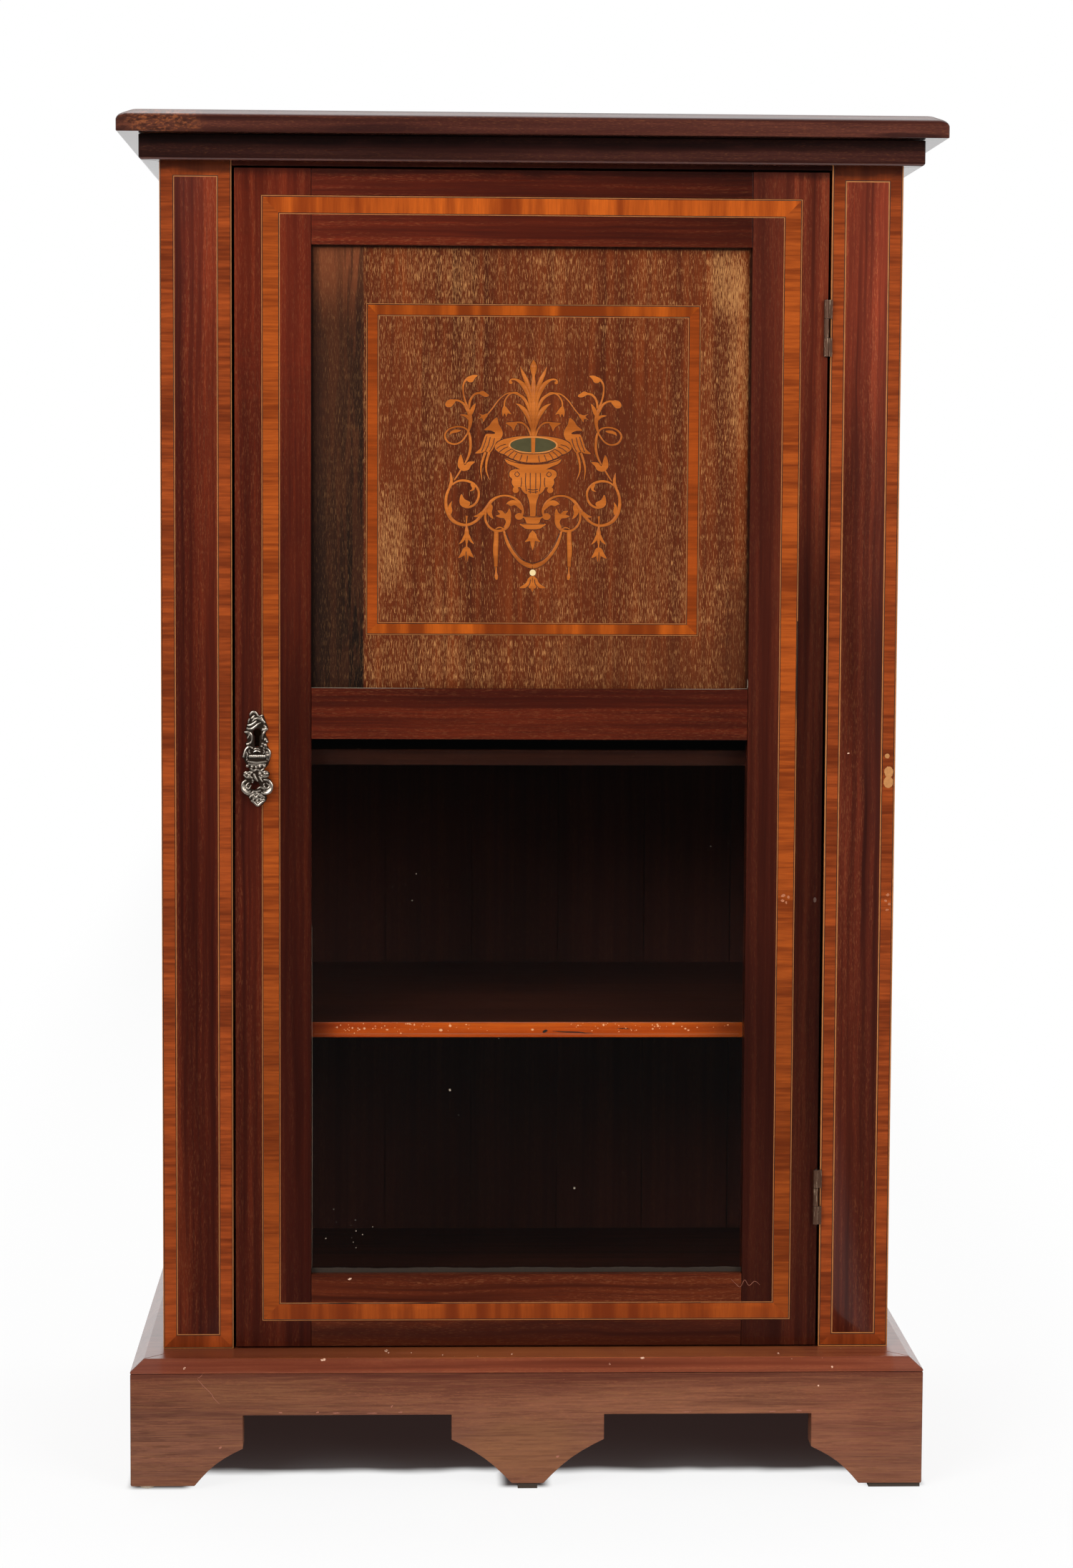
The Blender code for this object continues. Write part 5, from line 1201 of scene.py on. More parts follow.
def smoothOutline(points, steps=3):
    rounded = []
    count = len(points)
    for index in range(count):
        near = [Vector(points[(index + step) % count]) for step in (-1, 0, 1, 2)]
        rounded += [curveThrough(*near, step / steps) for step in range(steps)]
    return rounded


def widened(outline, distance):
    # the same outline, moved outwards
    following = [*outline[1:], outline[0]]
    area = sum(here[0] * after[1] - after[0] * here[1] for here, after in zip(outline, following))
    side = distance if area > 0 else -distance
    moved = []
    for index in range(len(outline)):
        before, here, after = (Vector(row[index]) for row in ([outline[-1], *outline], outline, following))
        way = (after - before).normalized()
        moved.append((here.x + way.y * side, here.y - way.x * side))
    return moved


def ringOutline(u, v, wide, tall, count):
    turns = [math.tau * k / count for k in range(count)]
    return [(u + wide * math.cos(turn), v + tall * math.sin(turn)) for turn in turns]


def makeStems(group, back):
    # the stems, the dark lines round them and the dark lines drawn on the leaves
    sink, lift = sketch["sink"], sketch["lift"]
    stems = middleStems + sideStems + tuple(flipped(run) for run in sideStems)
    lines = [tuple((u, v, sketch["lineHalf"]) for u, v in run) for run in scorched]
    lines += [flipped(run) for run in lines]
    gaps = [tuple((u, v, half + sketch["glueLine"]) for u, v, half in run) for run in stems]
    scrolls = ["marquetry_scroll_left", "marquetry_scroll_right"]
    parts = (
        ("marquetryStems", stems, "marquetry", sink + lift, scrolls),
        ("marquetryGlueLines", gaps, "scorched", sink + sketch["glueProud"], []),
        ("marquetryLines", lines, "scorched", sink + lift + sketch["lineLift"], []),
    )
    for name, runs, finish, thickness, replaced in parts:
        mesh = grown(name, sketchedCurves(name, runs), group, Spacing=sketch["spacing"], Thickness=thickness,
                     Place=(panelX, back, panelZ), Finish=materials[finish])
        addPiece(name, mesh, "door", replaced)


def makeLeaves(face, back):
    # leaves, birds and the urn, each over its own dark outline
    bm = bmesh.new()
    leafFace = face - sketch["lift"] - sketch["leafProud"]

    def leaf(outline, front, finish):
        places = [onSketch(u, v) for u, v in outline]
        addSlab(bm, [(panelX + x, panelZ + z) for x, z in places], front, back, leafFinishes.index(finish))

    for index, shape in enumerate([*sideShapes, *(flipped(shape) for shape in sideShapes)]):
        outline = smoothOutline(shape)
        gapFace = face - sketch["gapProud"] - (index % 3) * sketch["gapStep"]
        leaf(outline, leafFace - (1 + index % 2) * sketch["leafStep"], "marquetry")
        leaf(widened(outline, sketch["glueLine"]), gapFace, "scorched")
    for index, shape in enumerate(middleShapes):
        outline = smoothOutline(shape)
        gapFace = face - sketch["urnGapProud"] - index * sketch["gapStep"]
        leaf(outline, leafFace - (index + 3) * sketch["leafStep"], "marquetry")
        leaf(widened(outline, sketch["wideGlueLine"]), gapFace, "scorched")
    front = face - sketch["lift"] - sketch["lineLift"]
    for u, v, wide, tall, count, proud, finish in rounds:
        leaf(ringOutline(u, v, wide, tall, count), front - proud, finish)
    leaf(basinStem, front - basinStemProud, "marquetry")
    for u, v, radius in smallScrolls + flipped(smallScrolls):
        leaf(ringOutline(u, v, radius, radius, sketch["scrollCorners"]), front, "marquetry")
    newPiece("marquetryLeaves", bm, "door", leafFinishes, ["marquetry_urn"])


squareLow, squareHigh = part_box("panel_banding")
panelX, panelZ = (squareLow.x + squareHigh.x) / 2, (squareLow.z + squareHigh.z) / 2
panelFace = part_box("door_panel")[0].y
stemTree = makeStemTree()
makeStems(stemTree, panelFace + sketch["sink"])
makeLeaves(panelFace, panelFace + sketch["sink"])
print("marquetry")

mount = {
    # the sketch of the keyhole plate has its own units too
    "keyhole": (500, 465), "top": 213, "unit": mm / 16.2,
    "plateThick": 1.0 * mm, "ground": 0.9 * mm, "plateSink": 0.1 * mm,
    "outlineSteps": 2,
    "shoulder": 0.6, "frontDrawnIn": 5, "openingDrawnIn": 3,  # how a slab's front edge is eased
    "ribSpacing": 0.35 * mm, "ribGrowth": 1.25, "ribSink": 0.3, "ribSides": 8, "beadFineness": 2,
    "voxel": 0.17 * mm,                # the parts of a casting are run together at this fineness
    "smoothing": (2, 0.5),
}
plateOutline = (
    (460, 213), (490, 224), (515, 262), (545, 266), (568, 250), (582, 290), (594, 330), (608, 360),
    (622, 400), (615, 432), (594, 465), (602, 500), (624, 540), (620, 575), (608, 602), (632, 640),
    (650, 690), (652, 730), (640, 790), (620, 830), (590, 866), (550, 888), (500, 894), (450, 888),
    (410, 868), (380, 840), (355, 800), (345, 764), (320, 746), (335, 710), (350, 668), (375, 634),
    (366, 606), (360, 585), (385, 558), (378, 510), (360, 472), (346, 455), (368, 430), (373, 400),
    (382, 362), (408, 332), (412, 290), (408, 250), (432, 222),
)
keyholeOutline = (
    (470, 617), (468, 512), (452, 488), (449, 462), (460, 432), (480, 416), (500, 412), (520, 418),
    (536, 436), (542, 464), (538, 488), (522, 510), (520, 617),
)
pullOutline = (
    (405, 762), (500, 756), (595, 762), (634, 800), (612, 850), (578, 886), (600, 900), (640, 918),
    (638, 950), (606, 976), (652, 998), (678, 1050), (674, 1100), (642, 1160), (606, 1182), (612, 1225),
    (572, 1280), (515, 1312), (468, 1288), (420, 1250), (408, 1215), (380, 1188), (338, 1150), (316, 1076),
    (330, 1020), (356, 990), (338, 962), (334, 934), (370, 910), (415, 894), (385, 850), (365, 800),
)
pullOpening = (
    (432, 1040), (470, 1018), (506, 1030), (530, 1072), (500, 1104), (456, 1120), (424, 1100), (418, 1070),
)
plateRibs = (
    # places, each with its radius
    ((414, 262, 8), (436, 228, 12), (468, 222, 13), (490, 240, 10), (506, 264, 9), (536, 272, 10),
     (564, 258, 10)),
    ((424, 304, 7), (448, 286, 12), (468, 262, 9)),
    ((440, 334, 6), (478, 302, 10), (520, 298, 12), (560, 322, 12), (590, 350, 8)),
    ((384, 376, 8), (420, 374, 13), (456, 356, 13), (492, 326, 9)),
    ((376, 412, 8), (430, 418, 14), (470, 397, 14), (506, 364, 10), (546, 344, 6)),
    ((352, 456, 8), (394, 456, 13), (424, 476, 12), (436, 520, 9), (430, 568, 8), (398, 592, 13),
     (372, 594, 9)),
    ((592, 442, 8), (572, 466, 10), (558, 500, 8), (556, 540, 6)),
    ((342, 748, 14), (352, 702, 14), (370, 656, 14), (400, 630, 14), (432, 634, 10), (446, 650, 8)),
    ((598, 640, 10), (630, 664, 13), (642, 702, 14), (634, 742, 14), (618, 790, 10)),
    ((452, 690, 8), (492, 676, 16), (536, 688, 8)),
    ((454, 660, 6), (492, 646, 10), (530, 660, 6)),
    ((520, 268, 8), (548, 292, 9), (566, 324, 8), (570, 352, 6)),
    ((410, 300, 7), (400, 330, 9), (396, 352, 7)),
    ((574, 372, 9), (590, 392, 12), (600, 412, 9)),
    ((384, 530, 7), (404, 500, 8), (400, 480, 6)),
    ((376, 690, 7), (384, 720, 9), (380, 756, 8), (392, 800, 9), (420, 840, 8)),
    ((604, 690, 7), (600, 720, 9), (606, 756, 8), (594, 800, 9), (566, 842, 8)),
    ((410, 660, 7), (404, 690, 8), (420, 704, 7)),
    ((568, 658, 7), (580, 690, 8), (566, 704, 7)),
)
pullBars = tuple(((416 + 24 * k, 714, 9), (416 + 24 * k, 731, 13), (416 + 24 * k, 752, 10)) for k in range(8))
plateBeads = (
    (570, 426, 20), (603, 420, 18), (594, 540, 19), (612, 566, 13), (592, 606, 19), (560, 590, 14),
    (548, 620, 12), (462, 298, 10), (400, 596, 10), (610, 690, 14), (622, 722, 16), (576, 640, 10),
    (370, 690, 9), (382, 780, 11), (604, 780, 11),
)
pullRibs = (
    ((390, 790, 8), (450, 800, 12), (500, 806, 13), (550, 800, 12), (606, 790, 8)),
    ((420, 872, 8), (460, 896, 11), (500, 884, 9), (540, 898, 11), (580, 872, 8)),
    ((462, 930, 9), (470, 964, 13), (488, 992, 11), (506, 1022, 6)),
    ((520, 962, 8), (542, 1000, 9), (562, 1026, 7)),
    ((376, 1008, 9), (340, 1034, 13), (328, 1084, 15), (346, 1130, 17), (392, 1160, 17), (436, 1160, 12),
     (456, 1138, 8)),
    ((408, 1036, 7), (384, 1056, 9), (372, 1084, 11), (388, 1108, 11), (414, 1094, 8), (430, 1062, 6)),
    ((574, 1002, 9), (624, 1006, 12), (660, 1044, 14), (666, 1096, 15), (640, 1144, 17), (590, 1160, 14),
     (546, 1150, 9)),
    ((604, 1040, 7), (640, 1070, 9), (626, 1100, 12), (592, 1096, 11), (574, 1070, 9), (584, 1044, 7)),
    ((498, 1114, 6), (530, 1090, 9), (562, 1096, 10), (592, 1116, 8)),
    ((412, 1214, 9), (430, 1190, 11), (462, 1186, 9), (484, 1210, 11), (508, 1184, 9), (548, 1190, 11),
     (584, 1206, 10)),
    ((430, 1244, 8), (462, 1262, 11), (506, 1300, 11), (548, 1266, 11), (590, 1240, 8)),
    ((400, 822, 9), (450, 828, 10), (500, 834, 10), (550, 828, 10), (600, 822, 9)),
    ((350, 930, 8), (372, 912, 10), (400, 918, 9), (424, 908, 9), (446, 922, 7)),
    ((620, 912, 8), (596, 906, 10), (570, 914, 9), (546, 908, 9), (520, 918, 7)),
    ((356, 962, 8), (386, 974, 11), (420, 972, 11), (446, 986, 8)),
    ((632, 958, 8), (600, 966, 11), (566, 968, 11), (542, 980, 8)),
    ((440, 1002, 7), (452, 1020, 8), (440, 1040, 7)),
    ((348, 1060, 7), (352, 1090, 8), (366, 1124, 10), (400, 1140, 9), (424, 1130, 7)),
    ((646, 1040, 7), (652, 1080, 8), (634, 1122, 10), (604, 1136, 9), (570, 1134, 7)),
    ((452, 1126, 7), (480, 1140, 10), (510, 1136, 10), (540, 1126, 7)),
    ((444, 1182, 7), (470, 1166, 9), (500, 1178, 8), (528, 1166, 9), (556, 1182, 7)),
    ((446, 1206, 7), (470, 1222, 9), (500, 1214, 8), (528, 1224, 9), (556, 1208, 7)),
    ((480, 1250, 7), (508, 1262, 9), (536, 1250, 7)),
)
pullBeads = (
    (386, 842, 16), (440, 852, 16), (488, 856, 14), (530, 848, 17), (582, 844, 15), (352, 948, 11),
    (380, 932, 16), (408, 950, 18), (430, 924, 12), (530, 932, 19), (556, 956, 15), (588, 934, 17),
    (616, 930, 13), (468, 946, 12), (498, 1160, 12), (456, 1232, 11), (500, 1240, 13), (544, 1236, 12),
    (572, 1232, 14), (508, 1272, 13), (402, 1074, 6),
)


def makeRibTree():
    # rounded ribs along curves, thick and thin as each point says
    group, tree, asked = newTree("castRibs", (
        ("Curves", "Geometry"), ("Spacing", "Float"), ("Sides", "Int"), ("Finish", "Material"),
    ))
    spacing, sides, finish = (asked.output(index) for index in range(1, 4))
    smooth = tree.add("GeometryNodeCurveSplineType", {"spline_type": "CATMULL_ROM"}, {"Curve": asked})
    even = tree.add("GeometryNodeResampleCurve", {"mode": "LENGTH"}, {"Curve": smooth, "Length": spacing})
    circle = {"Resolution": sides, "Radius": 1.0}
    profile = {
        "Curve": even, "Fill Caps": True, "Scale": tree.add("GeometryNodeInputRadius"),
        "Profile Curve": tree.add("GeometryNodeCurvePrimitiveCircle", {"mode": "RADIUS"}, circle),
    }
    ribs = tree.add("GeometryNodeCurveToMesh", {}, profile)
    endTree(group, tree, tree.add("GeometryNodeSetShadeSmooth", {}, {"Geometry": ribs}), finish)
    return group


def makeBeadTree():
    # one round bead on each point, as large as the point's own measure
    group, tree, asked = newTree("castBeads", (
        ("Points", "Geometry"), ("Fineness", "Int"), ("Finish", "Material"),
    ))
    fineness, finish = asked.output(1), asked.output(2)
    ball = tree.add("GeometryNodeMeshIcoSphere", {}, {"Radius": 1.0, "Subdivisions": fineness})
    size = tree.add("GeometryNodeInputNamedAttribute", {"data_type": "FLOAT"}, {"Name": "size"})
    beads = tree.add("GeometryNodeInstanceOnPoints", {}, {"Points": asked, "Instance": ball, "Scale": size})
    endTree(group, tree, tree.add("GeometryNodeSetShadeSmooth", {}, {"Geometry": beads}), finish)
    return group


def onMount(u, v):
    u0, v0 = mount["keyhole"]
    return keyholeX + (u - u0) * mount["unit"], keyholeZ + (v0 - v) * mount["unit"]


def castSlab(bm, outline, opening, back, front):
    # a flat casting with one opening, its front edge drawn in a little
    def loop(points, y, inset):
        places = [onMount(u, v) for u, v in widened(points, inset)]
        ring = [bm.verts.new((x, y, z)) for x, z in places]
        return ring, [bm.edges.new((ring[k], ring[(k + 1) % len(ring)])) for k in range(len(ring))]

    shoulder = back + (front - back) * mount["shoulder"]
    made = []
    for points, inset in ((outline, -mount["frontDrawnIn"]), (opening, mount["openingDrawnIn"])):
        rings = [loop(points, back, 0), loop(points, shoulder, 0), loop(points, front, inset)]
        for (low, _), (high, _) in zip(rings, rings[1:]):
            for a in range(len(low)):
                b = (a + 1) % len(low)
                bm.faces.new((low[a], low[b], high[b], high[a]))
        made.append(rings)
    for level in (0, 2):
        edges = made[0][level][1] + made[1][level][1]
        bmesh.ops.triangle_fill(bm, edges=edges, use_beauty=True)
    bmesh.ops.recalc_face_normals(bm, faces=bm.faces)


def castRibs(name, front, runs):
    grownUnit, sunk = mount["unit"] * mount["ribGrowth"], mount["unit"] * mount["ribSink"]
    placed = []
    for run in runs:
        flat = [(*onMount(u, v), half) for u, v, half in run]
        placed.append([((x, front + half * sunk, z), half * grownUnit) for x, z, half in flat])
    return grown(name, newCurves(name, placed), ribTree, Spacing=mount["ribSpacing"], Sides=mount["ribSides"],
                 Finish=materials["nickel"])


def castBeads(name, front, beads):
    mesh = bpy.data.meshes.new(name)
    places = [(*onMount(u, v), radius * mount["unit"]) for u, v, radius in beads]
    mesh.from_pydata([(x, front + size * mount["ribSink"], z) for x, z, size in places], [], [])
    sizes = mesh.attributes.new("size", "FLOAT", "POINT")
    sizes.data.foreach_set("value", [size * mount["ribGrowth"] for _, _, size in places])
    return grown(name, bpy.data.objects.new(name, mesh), beadTree, Fineness=mount["beadFineness"],
                 Finish=materials["nickel"])


def runTogether(name, bm):
    # one skin round all that the mesh holds
    mesh = bpy.data.meshes.new(name)
    bm.to_mesh(mesh)
    bm.free()
    blank = bpy.data.objects.new(name, mesh)
    bpy.context.scene.collection.objects.link(blank)
    together = blank.modifiers.new("together", "REMESH")
    together.mode = "VOXEL"
    together.voxel_size = mount["voxel"]
    soft = blank.modifiers.new("soft", "SMOOTH")
    soft.iterations, soft.factor = mount["smoothing"]
    deps = bpy.context.evaluated_depsgraph_get()
    made = bpy.data.meshes.new_from_object(blank.evaluated_get(deps), depsgraph=deps)
    bpy.data.objects.remove(blank)
    return made


def castPiece(name, body, outline, opening, back, thick, ribs, beads, replaced):
    # slab, ribs and beads, run together as one casting
    front, steps = back - thick, mount["outlineSteps"]
    bm = bmesh.new()
    castSlab(bm, smoothOutline(outline, steps), smoothOutline(opening, steps), back, front)
    bm.from_mesh(castRibs(name + "Ribs", front, ribs))
    bm.from_mesh(castBeads(name + "Beads", front, beads))
    mesh = runTogether(name + "Rough", bm)
    materials[name] = castMetal(name + "Metal", front)
    bm = bmesh.new()
    bm.from_mesh(mesh)
    for face in bm.faces:
        face.material_index = 0
        face.smooth = True
    newPiece(name, bm, body, [name], replaced)


plateLow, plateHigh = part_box("escutcheon")
pullLow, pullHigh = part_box("drop_pull")
keyholeX = (plateLow.x + plateHigh.x) / 2
keyholeZ = plateHigh.z - (mount["keyhole"][1] - mount["top"]) * mount["unit"]
ribTree, beadTree = makeRibTree(), makeBeadTree()
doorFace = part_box("door_stile_lock")[0].y
pullThick = pullHigh.y - pullLow.y - mount["ground"]
castPiece("keyholePlate", "door", plateOutline, keyholeOutline, doorFace - mount["plateSink"],
          mount["plateThick"], plateRibs, plateBeads, ["escutcheon"])
castPiece("dropPull", "drop_pull", pullOutline, pullOpening, pullHigh.y, pullThick,
          pullRibs + pullBars, pullBeads, ["drop_pull"])
print("keyhole plate and pull")

markedFaces = {
    # the body, the slot, a place on the face, the way it faces
    "plinth": ("carcass", "plinth_mahogany", (0, -0.1935, 0.05), (0, -1, 0)),
    "chamfer": ("carcass", "plinth_mahogany", (0, -0.1935, 0.0860), (0, -0.632, 0.775)),
    "ledge": ("carcass", "plinth_mahogany", (0, -0.17, 0.0935), (0, 0, 1)),
    "stile": ("carcass", "mahogany", (0, -0.15657, 0.5), (0, -1, 0)),
    "shelf": ("carcass", "shelf_wood", (0, -0.1325, 0.32), (0, -1, 0)),
    "door": ("door", "mahogany", (0, -0.15664, 0.5), (0, -1, 0)),
    "glass": ("door", "glass", (0, -0.1502, 0.3), (0, -1, 0)),
}
marksLook = {
    "flakeThick": 0.05 * mm, "flakeFineness": 3,
    "flakeRagged": 1.3 * mm, "raggedScale": 1500.0, "raggedDetail": 2.0, "raggedAlong": (1, 0.1, 1),
    "speckThick": 0.12, "speckLong": (0.6, 1.8),  # as shares of a speck's width
    "speckPower": 3,                              # the higher, the more of the specks are small
    "scratchSpacing": 1.0 * mm, "scratchThick": 0.08 * mm, "scratchSink": 0.03 * mm, "scratchEnds": 0.5,
}
flakes = {
    # face and finish: x, then z or on the ledge y, length and height in mm, turn in degrees
    ("chamfer", "paleChip"): (
        (-0.1462, 0.0925, 3.8, 2.2, 8), (0.0821, 0.0928, 3.0, 1.8, 10), (0.0583, 0.0895, 1.3, 1.6, 0),
        (0.2178, 0.0875, 1.5, 1.8, 0), (-0.2447, 0.0880, 2.5, 1.5, 60),
    ),
    ("ledge", "paleChip"): (
        (-0.1014, -0.1640, 2.6, 8.0, 0), (-0.0998, -0.1700, 1.5, 4.0, 0), (0.1808, -0.1758, 1.3, 4.0, 0),
        (-0.0609, -0.1770, 1.0, 4.0, 0), (-0.0834, -0.1705, 1.0, 3.0, 0), (-0.0112, -0.1750, 1.0, 4.0, 0),
        (-0.0358, -0.1810, 0.8, 3.0, 0),
    ),
    ("plinth", "paleChip"): (
        (0.2079, 0.0744, 1.3, 1.3, 0),
    ),
    ("plinth", "rubbed"): (
        (-0.1765, 0.0562, 3.0, 0.8, 0), (-0.1500, 0.0563, 2.0, 1.1, 20), (-0.1368, 0.0558, 5.1, 0.6, 0),
        (-0.0909, 0.0562, 3.5, 0.8, 5), (-0.0971, 0.0605, 2.0, 1.0, 40), (-0.1113, 0.0556, 8.1, 0.5, 0),
        (0.1943, 0.0563, 4.0, 1.0, -8), (0.1753, 0.0557, 5.1, 0.5, 0), (0.1137, 0.0556, 7.1, 0.5, 0),
        (-0.2193, 0.0309, 2.5, 1.3, 30), (0.0216, 0.0235, 2.5, 1.3, 20),
    ),
    ("door", "scar"): (
        (0.1826, 0.4231, 3.0, 2.0, 20), (0.1822, 0.4195, 2.0, 2.6, 70), (0.1863, 0.4221, 2.0, 2.0, -30),
        (0.1848, 0.4180, 1.5, 2.0, 0),
    ),
    ("door", "greyMark"): (
        (0.2054, 0.4201, 2.2, 3.6, 0),
    ),
    ("door", "paleChip"): (
        (-0.1278, 0.1444, 2.5, 1.3, 20),
    ),
    ("stile", "scar"): (
        (0.2579, 0.4238, 2.5, 2.0, 30), (0.2564, 0.4196, 2.0, 1.5, -20), (0.2590, 0.4170, 2.0, 2.0, 0),
        (0.2576, 0.4129, 2.5, 1.3, 10),
    ),
    ("stile", "filler"): (
        (0.2562, 0.5238, 3.4, 3.4, 0), (0.2574, 0.5124, 6.4, 8.0, 0), (0.2572, 0.5050, 6.8, 8.6, 0),
    ),
    ("stile", "paleChip"): (
        (0.2282, 0.5257, 1.5, 1.0, 0),
    ),
    ("glass", "dust"): (
        (-0.0560, 0.2810, 1.6, 1.8, 0), (0.0342, 0.2092, 1.4, 1.4, 0),
    ),
    ("shelf", "crack"): (
        (0.0130, 0.3213, 4.0, 2.0, 20), (0.0330, 0.3205, 30.0, 0.8, -3), (0.0700, 0.3232, 9.0, 0.5, -3),
    ),
}
sprinkles = (
    # face, left, right, low, high, how many to a square metre, smallest and largest in mm, finish, seed
    ("ledge", -0.25, 0.25, -0.183, -0.160, 2200, 0.10, 0.42, "paleChip", 3),
    ("chamfer", -0.27, 0.27, 0.0865, 0.0930, 1200, 0.10, 0.36, "paleChip", 4),
    ("plinth", -0.28, 0.28, 0.058, 0.085, 700, 0.10, 0.30, "rubbed", 5),
    ("glass", -0.150, 0.150, 0.152, 0.530, 900, 0.06, 0.34, "dust", 6),
    ("glass", -0.150, -0.105, 0.154, 0.190, 9000, 0.10, 0.46, "dust", 7),
    ("glass", -0.105, -0.080, 0.395, 0.440, 9000, 0.08, 0.40, "dust", 11),
    ("shelf", -0.140, -0.040, 0.3215, 0.3272, 60000, 0.25, 1.10, "wornEdge", 8),
    ("shelf", 0.030, 0.120, 0.3215, 0.3272, 50000, 0.25, 1.10, "wornEdge", 9),
    ("shelf", -0.155, 0.155, 0.3195, 0.3275, 14000, 0.25, 0.90, "wornEdge", 10),
)
scratchesAndGlints = (
    # face, finish, half width in mm, places
    ("plinth", "rubbed", 0.14, ((-0.2354, 0.0818), (-0.2335, 0.0822), (-0.2313, 0.0850))),
    ("plinth", "rubbed", 0.16, ((-0.2354, 0.0808), (-0.2310, 0.0756), (-0.2255, 0.0700), (-0.2240, 0.0672),
                                (-0.2197, 0.0626))),
    ("plinth", "rubbed", 0.12, ((-0.2321, 0.0761), (-0.2318, 0.0739))),
    ("door", "rubbed", 0.13, ((0.1479, 0.1436), (0.1521, 0.1394), (0.1548, 0.1378), (0.1578, 0.1430),
                              (0.1610, 0.1388), (0.1651, 0.1420), (0.1688, 0.1393))),
    ("door", "crack", 0.30, ((-0.150, 0.1262), (-0.132, 0.1266), (-0.120, 0.1262))),
    ("door", "crack", 0.24, ((-0.090, 0.1264), (-0.070, 0.1267), (-0.058, 0.1263))),
    ("door", "crack", 0.20, ((0.095, 0.1266), (0.112, 0.1263), (0.126, 0.1266))),
    ("door", "crack", 0.35, ((0.1905, 0.6200), (0.1907, 0.6000), (0.1906, 0.5700), (0.1908, 0.5500))),
    # pale lines along the top arris of the middle rail and up its right corner: painted glints
    ("door", "dust", 0.14, ((-0.1556, 0.5714), (-0.120, 0.5713), (-0.075, 0.5713))),
    ("door", "dust", 0.14, ((0.095, 0.5713), (0.135, 0.5714), (0.1552, 0.5718))),
    ("door", "dust", 0.16, ((0.1550, 0.5716), (0.1554, 0.5745), (0.1552, 0.5785))),
    # pale lines along the shelf edge's upper and lower arris: painted highlights
    ("shelf", "rubbed", 0.16, ((-0.154, 0.3275), (-0.060, 0.3276), (0.060, 0.3275), (0.154, 0.3276))),
    ("shelf", "rubbed", 0.20, ((-0.154, 0.3192), (-0.040, 0.3193), (0.070, 0.3191), (0.154, 0.3192))),
    ("glass", "dust", 0.12, ((-0.1550, 0.1480), (-0.080, 0.1486), (0.000, 0.1481), (0.090, 0.1486),
                             (0.1550, 0.1480))),
    ("glass", "dust", 0.12, ((-0.1553, 0.1480), (-0.1551, 0.2500), (-0.1553, 0.4000))),
)
dirtLine = {
    "left": -0.1556, "right": 0.1556, "low": 0.1477, "front": -0.1503, "back": -0.1499,
    "rise": 3.4 * mm, "wander": 0.25 * mm, "points": 90,
    "waves": ((0.31, 0, 1), (1.17, 1, 0.6), (2.7, 0, 0.3)),  # how often, where it starts, share
}


def makeFlakeTree():
    # one ragged flake on each point, lying on the face that the point belongs to
    group, tree, asked = newTree("flakes", (
        ("Points", "Geometry"), ("Fineness", "Int"), ("Ragged", "Float"), ("Finish", "Material"),
    ))
    fineness, ragged, finish = (asked.output(index) for index in range(1, 4))

    def own(name, kind):
        return tree.add("GeometryNodeInputNamedAttribute", {"data_type": kind}, {"Name": name})

    facing, turn = own("facing", "FLOAT_VECTOR"), own("turn", "FLOAT")
    lying = tree.add("FunctionNodeAlignRotationToVector", {"axis": "Z"}, {"Vector": facing})
    spin = tree.add("FunctionNodeAxisAngleToRotation", {}, {"Axis": (0, 0, 1), "Angle": turn})
    both = {"Rotation": lying, "Rotate By": spin}
    placed = {
        "Points": asked, "Scale": own("size", "FLOAT_VECTOR"),
        "Instance": tree.add("GeometryNodeMeshIcoSphere", {}, {"Radius": 1.0, "Subdivisions": fineness}),
        "Rotation": tree.add("FunctionNodeRotateRotation", {"rotation_space": "LOCAL"}, both),
    }
    real = tree.add("GeometryNodeRealizeInstances", {}, {
        "Geometry": tree.add("GeometryNodeInstanceOnPoints", {}, placed),
    })
    look = {"Scale": marksLook["raggedScale"], "Detail": marksLook["raggedDetail"]}
    cloud = tree.add("ShaderNodeTexNoise", {}, look, "Color")
    centred = tree.add("ShaderNodeVectorMath", {"operation": "SUBTRACT"}, {0: cloud, 1: (0.5, 0.5, 0.5)})
    flatter = {0: centred, 1: marksLook["raggedAlong"]}
    level = tree.add("ShaderNodeVectorMath", {"operation": "MULTIPLY"}, flatter)
    push = tree.add("ShaderNodeVectorMath", {"operation": "SCALE"}, {0: level, "Scale": ragged})
    endTree(group, tree, tree.add("GeometryNodeSetPosition", {}, {"Geometry": real, "Offset": push}), finish)
    return group


def makeSprinkleTree():
    # specks strewn over a face
    group, tree, asked = newTree("specks", (
        ("Faces", "Geometry"), ("Density", "Float"), ("Smallest", "Float"), ("Largest", "Float"),
        ("Seed", "Int"), ("Finish", "Material"),
    ))
    density, smallest, largest, seed, finish = (asked.output(index) for index in range(1, 6))
    places = {"Mesh": asked, "Density": density, "Seed": seed}
    strewn = tree.add("GeometryNodeDistributePointsOnFaces", {}, places)

    def chance(low, high, own):
        # a plain random number: its limits are inputs 2 and 3, and it leaves by output 1
        return tree.add("FunctionNodeRandomValue", {"data_type": "FLOAT"}, {2: low, 3: high, "Seed": own}, 1)

    size = smallest + (largest - smallest) * chance(0.0, 1.0, seed) ** marksLook["speckPower"]
    long = size * chance(*marksLook["speckLong"], seed + 1)
    thick = size * marksLook["speckThick"]
    specks = tree.add("GeometryNodeInstanceOnPoints", {}, {
        "Points": strewn, "Rotation": strewn.output("Rotation"),
        "Instance": tree.add("GeometryNodeMeshIcoSphere", {}, {"Radius": 1.0, "Subdivisions": 1}),
        "Scale": tree.add("ShaderNodeCombineXYZ", {}, {"X": long, "Y": size, "Z": thick}),
    })
    endTree(group, tree, specks, finish)
    return group


def onFace(face, x, other):
    # the place in the room of a mark on a face
    _, _, start, way = markedFaces[face]
    if face == "ledge":
        return (x, other, start[2])
    return (x, start[1] - (other - start[2]) * way[2] / way[1], other)


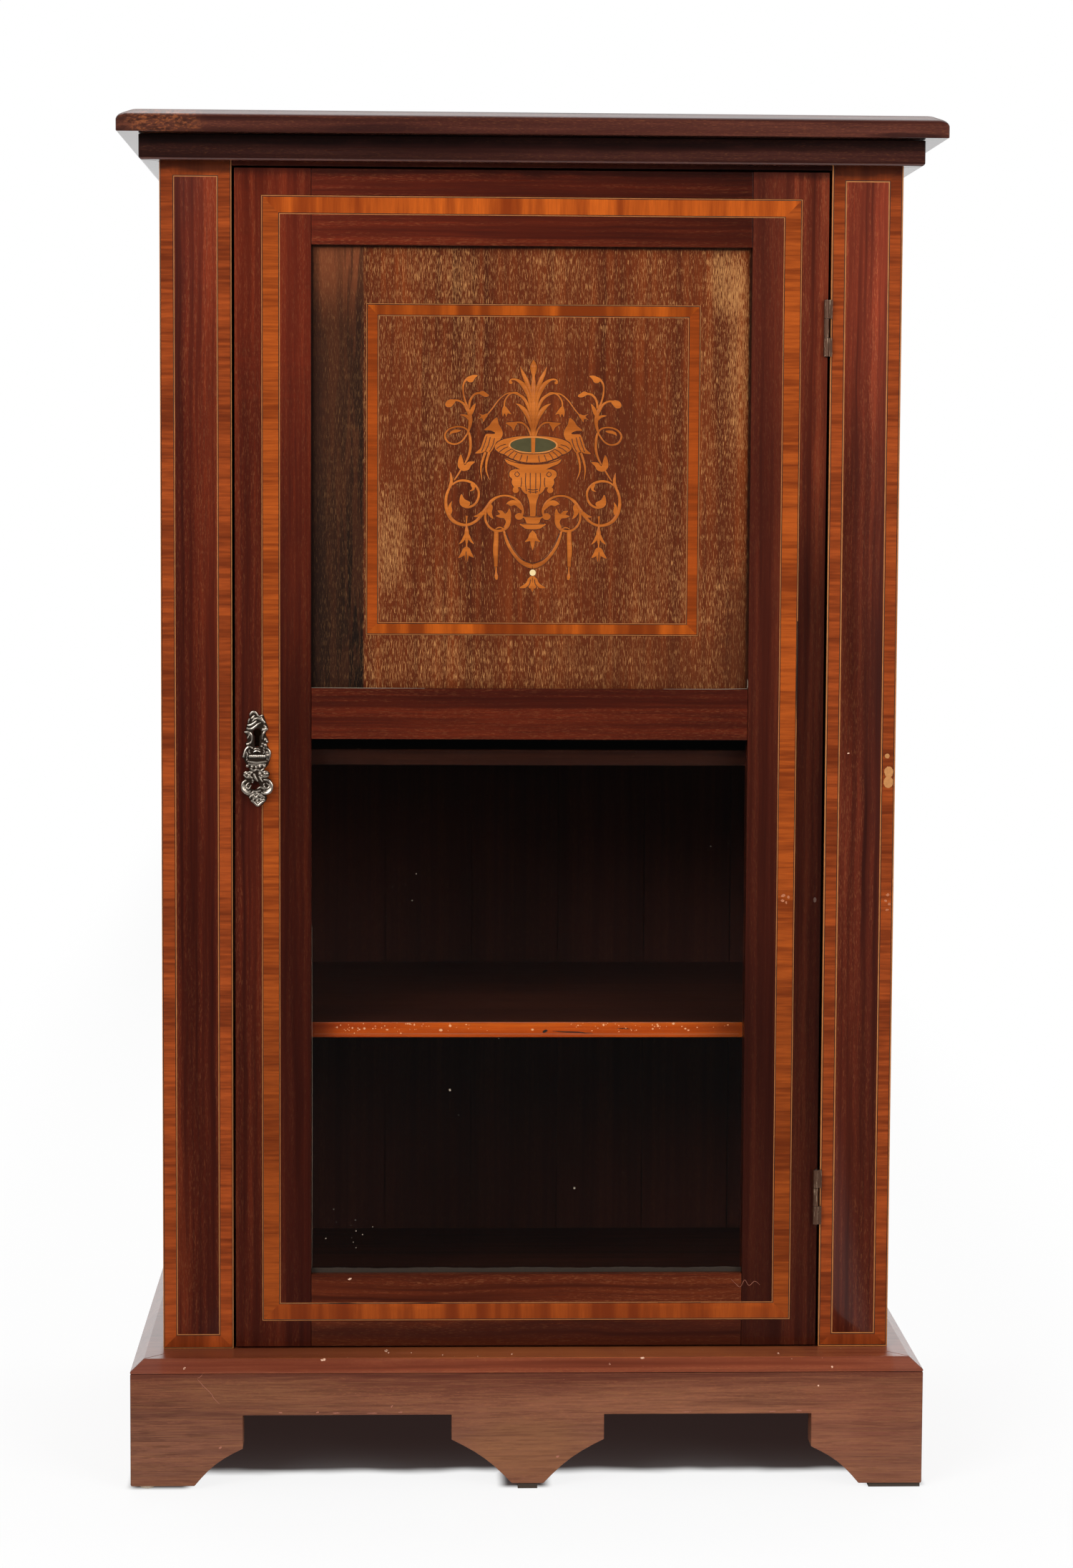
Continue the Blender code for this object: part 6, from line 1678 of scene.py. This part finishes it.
def wornPiece(name, face, start, group, finish, **inputs):
    body, slot, _, _ = markedFaces[face]
    addPiece(name, grown(name, start, group, Finish=materials[finish], **inputs), body)


def makeFlakes(group):
    look = marksLook
    for (face, finish), rows in sorted(flakes.items()):
        mesh = bpy.data.meshes.new("flakePoints")
        mesh.from_pydata([onFace(face, x, other) for x, other, *_ in rows], [], [])
        sizes = [(length / 2 * mm, height / 2 * mm, look["flakeThick"]) for _, _, length, height, _ in rows]
        measures = (
            ("size", "FLOAT_VECTOR", "vector", [side for size in sizes for side in size]),
            ("facing", "FLOAT_VECTOR", "vector", [*markedFaces[face][3]] * len(rows)),
            ("turn", "FLOAT", "value", [math.radians(row[4]) for row in rows]),
        )
        for label, kind, key, values in measures:
            mesh.attributes.new(label, kind, "POINT").data.foreach_set(key, values)
        name = "flakes_" + face + "_" + finish
        wornPiece(name, face, bpy.data.objects.new(name, mesh), group, finish,
                  Fineness=look["flakeFineness"], Ragged=look["flakeRagged"])


def makeSpecks(group):
    for index, row in enumerate(sprinkles):
        face, left, right, low, high, density, smallest, largest, finish, seed = row
        mesh = bpy.data.meshes.new("strewn")
        mesh.from_pydata([onFace(face, x, z) for x, z in corners(left, right, low, high)], [], [(0, 1, 2, 3)])
        name = "specks_" + face + str(index)
        wornPiece(name, face, bpy.data.objects.new(name, mesh), group, finish, Density=float(density),
                  Smallest=smallest * mm, Largest=largest * mm, Seed=seed)


def makeScratches(group):
    look = marksLook
    for index, (face, finish, half, run) in enumerate(scratchesAndGlints):
        halves = [half * mm] * len(run)
        halves[0] = halves[-1] = half * mm * look["scratchEnds"]
        curve = drawnCurves("scratch", [[(x, z, wide) for (x, z), wide in zip(run, halves)]])
        place = (0, markedFaces[face][2][1] + look["scratchSink"], 0)
        wornPiece("scratch" + str(index), face, curve, group, finish, Spacing=look["scratchSpacing"],
                  Thickness=look["scratchThick"], Place=place)


def makeDirtLine():
    # what gathered along the bottom of the glass
    line = dirtLine
    left, low, front, back, count = (line[key] for key in ("left", "low", "front", "back", "points"))
    across = [left + (line["right"] - left) * k / count for k in range(count + 1)]
    crest = []
    for k in range(count + 1):
        wave = sum(share * math.sin(k * often + start) for often, start, share in line["waves"])
        crest.append(low + line["rise"] + line["wander"] * wave)
    foot = [low] * (count + 1)
    bm = bmesh.new()
    rows = []
    for y, heights in ((front, foot), (front, crest), (back, crest), (back, foot)):
        rows.append([bm.verts.new((x, y, z)) for x, z in zip(across, heights)])
    for before, after in zip(rows, rows[1:] + rows[:1]):
        for k in range(count):
            bm.faces.new((before[k], before[k + 1], after[k + 1], after[k]))
    bm.faces.new([row[0] for row in rows])
    bm.faces.new([row[-1] for row in rows][::-1])
    bmesh.ops.recalc_face_normals(bm, faces=bm.faces)
    newPiece("glassDirt", bm, "door", ["dirt"])


# real wear and dust, with painted glints and highlights among the lines
makeFlakes(makeFlakeTree())
makeSpecks(makeSprinkleTree())
makeScratches(stemTree)
makeDirtLine()
print("wear")
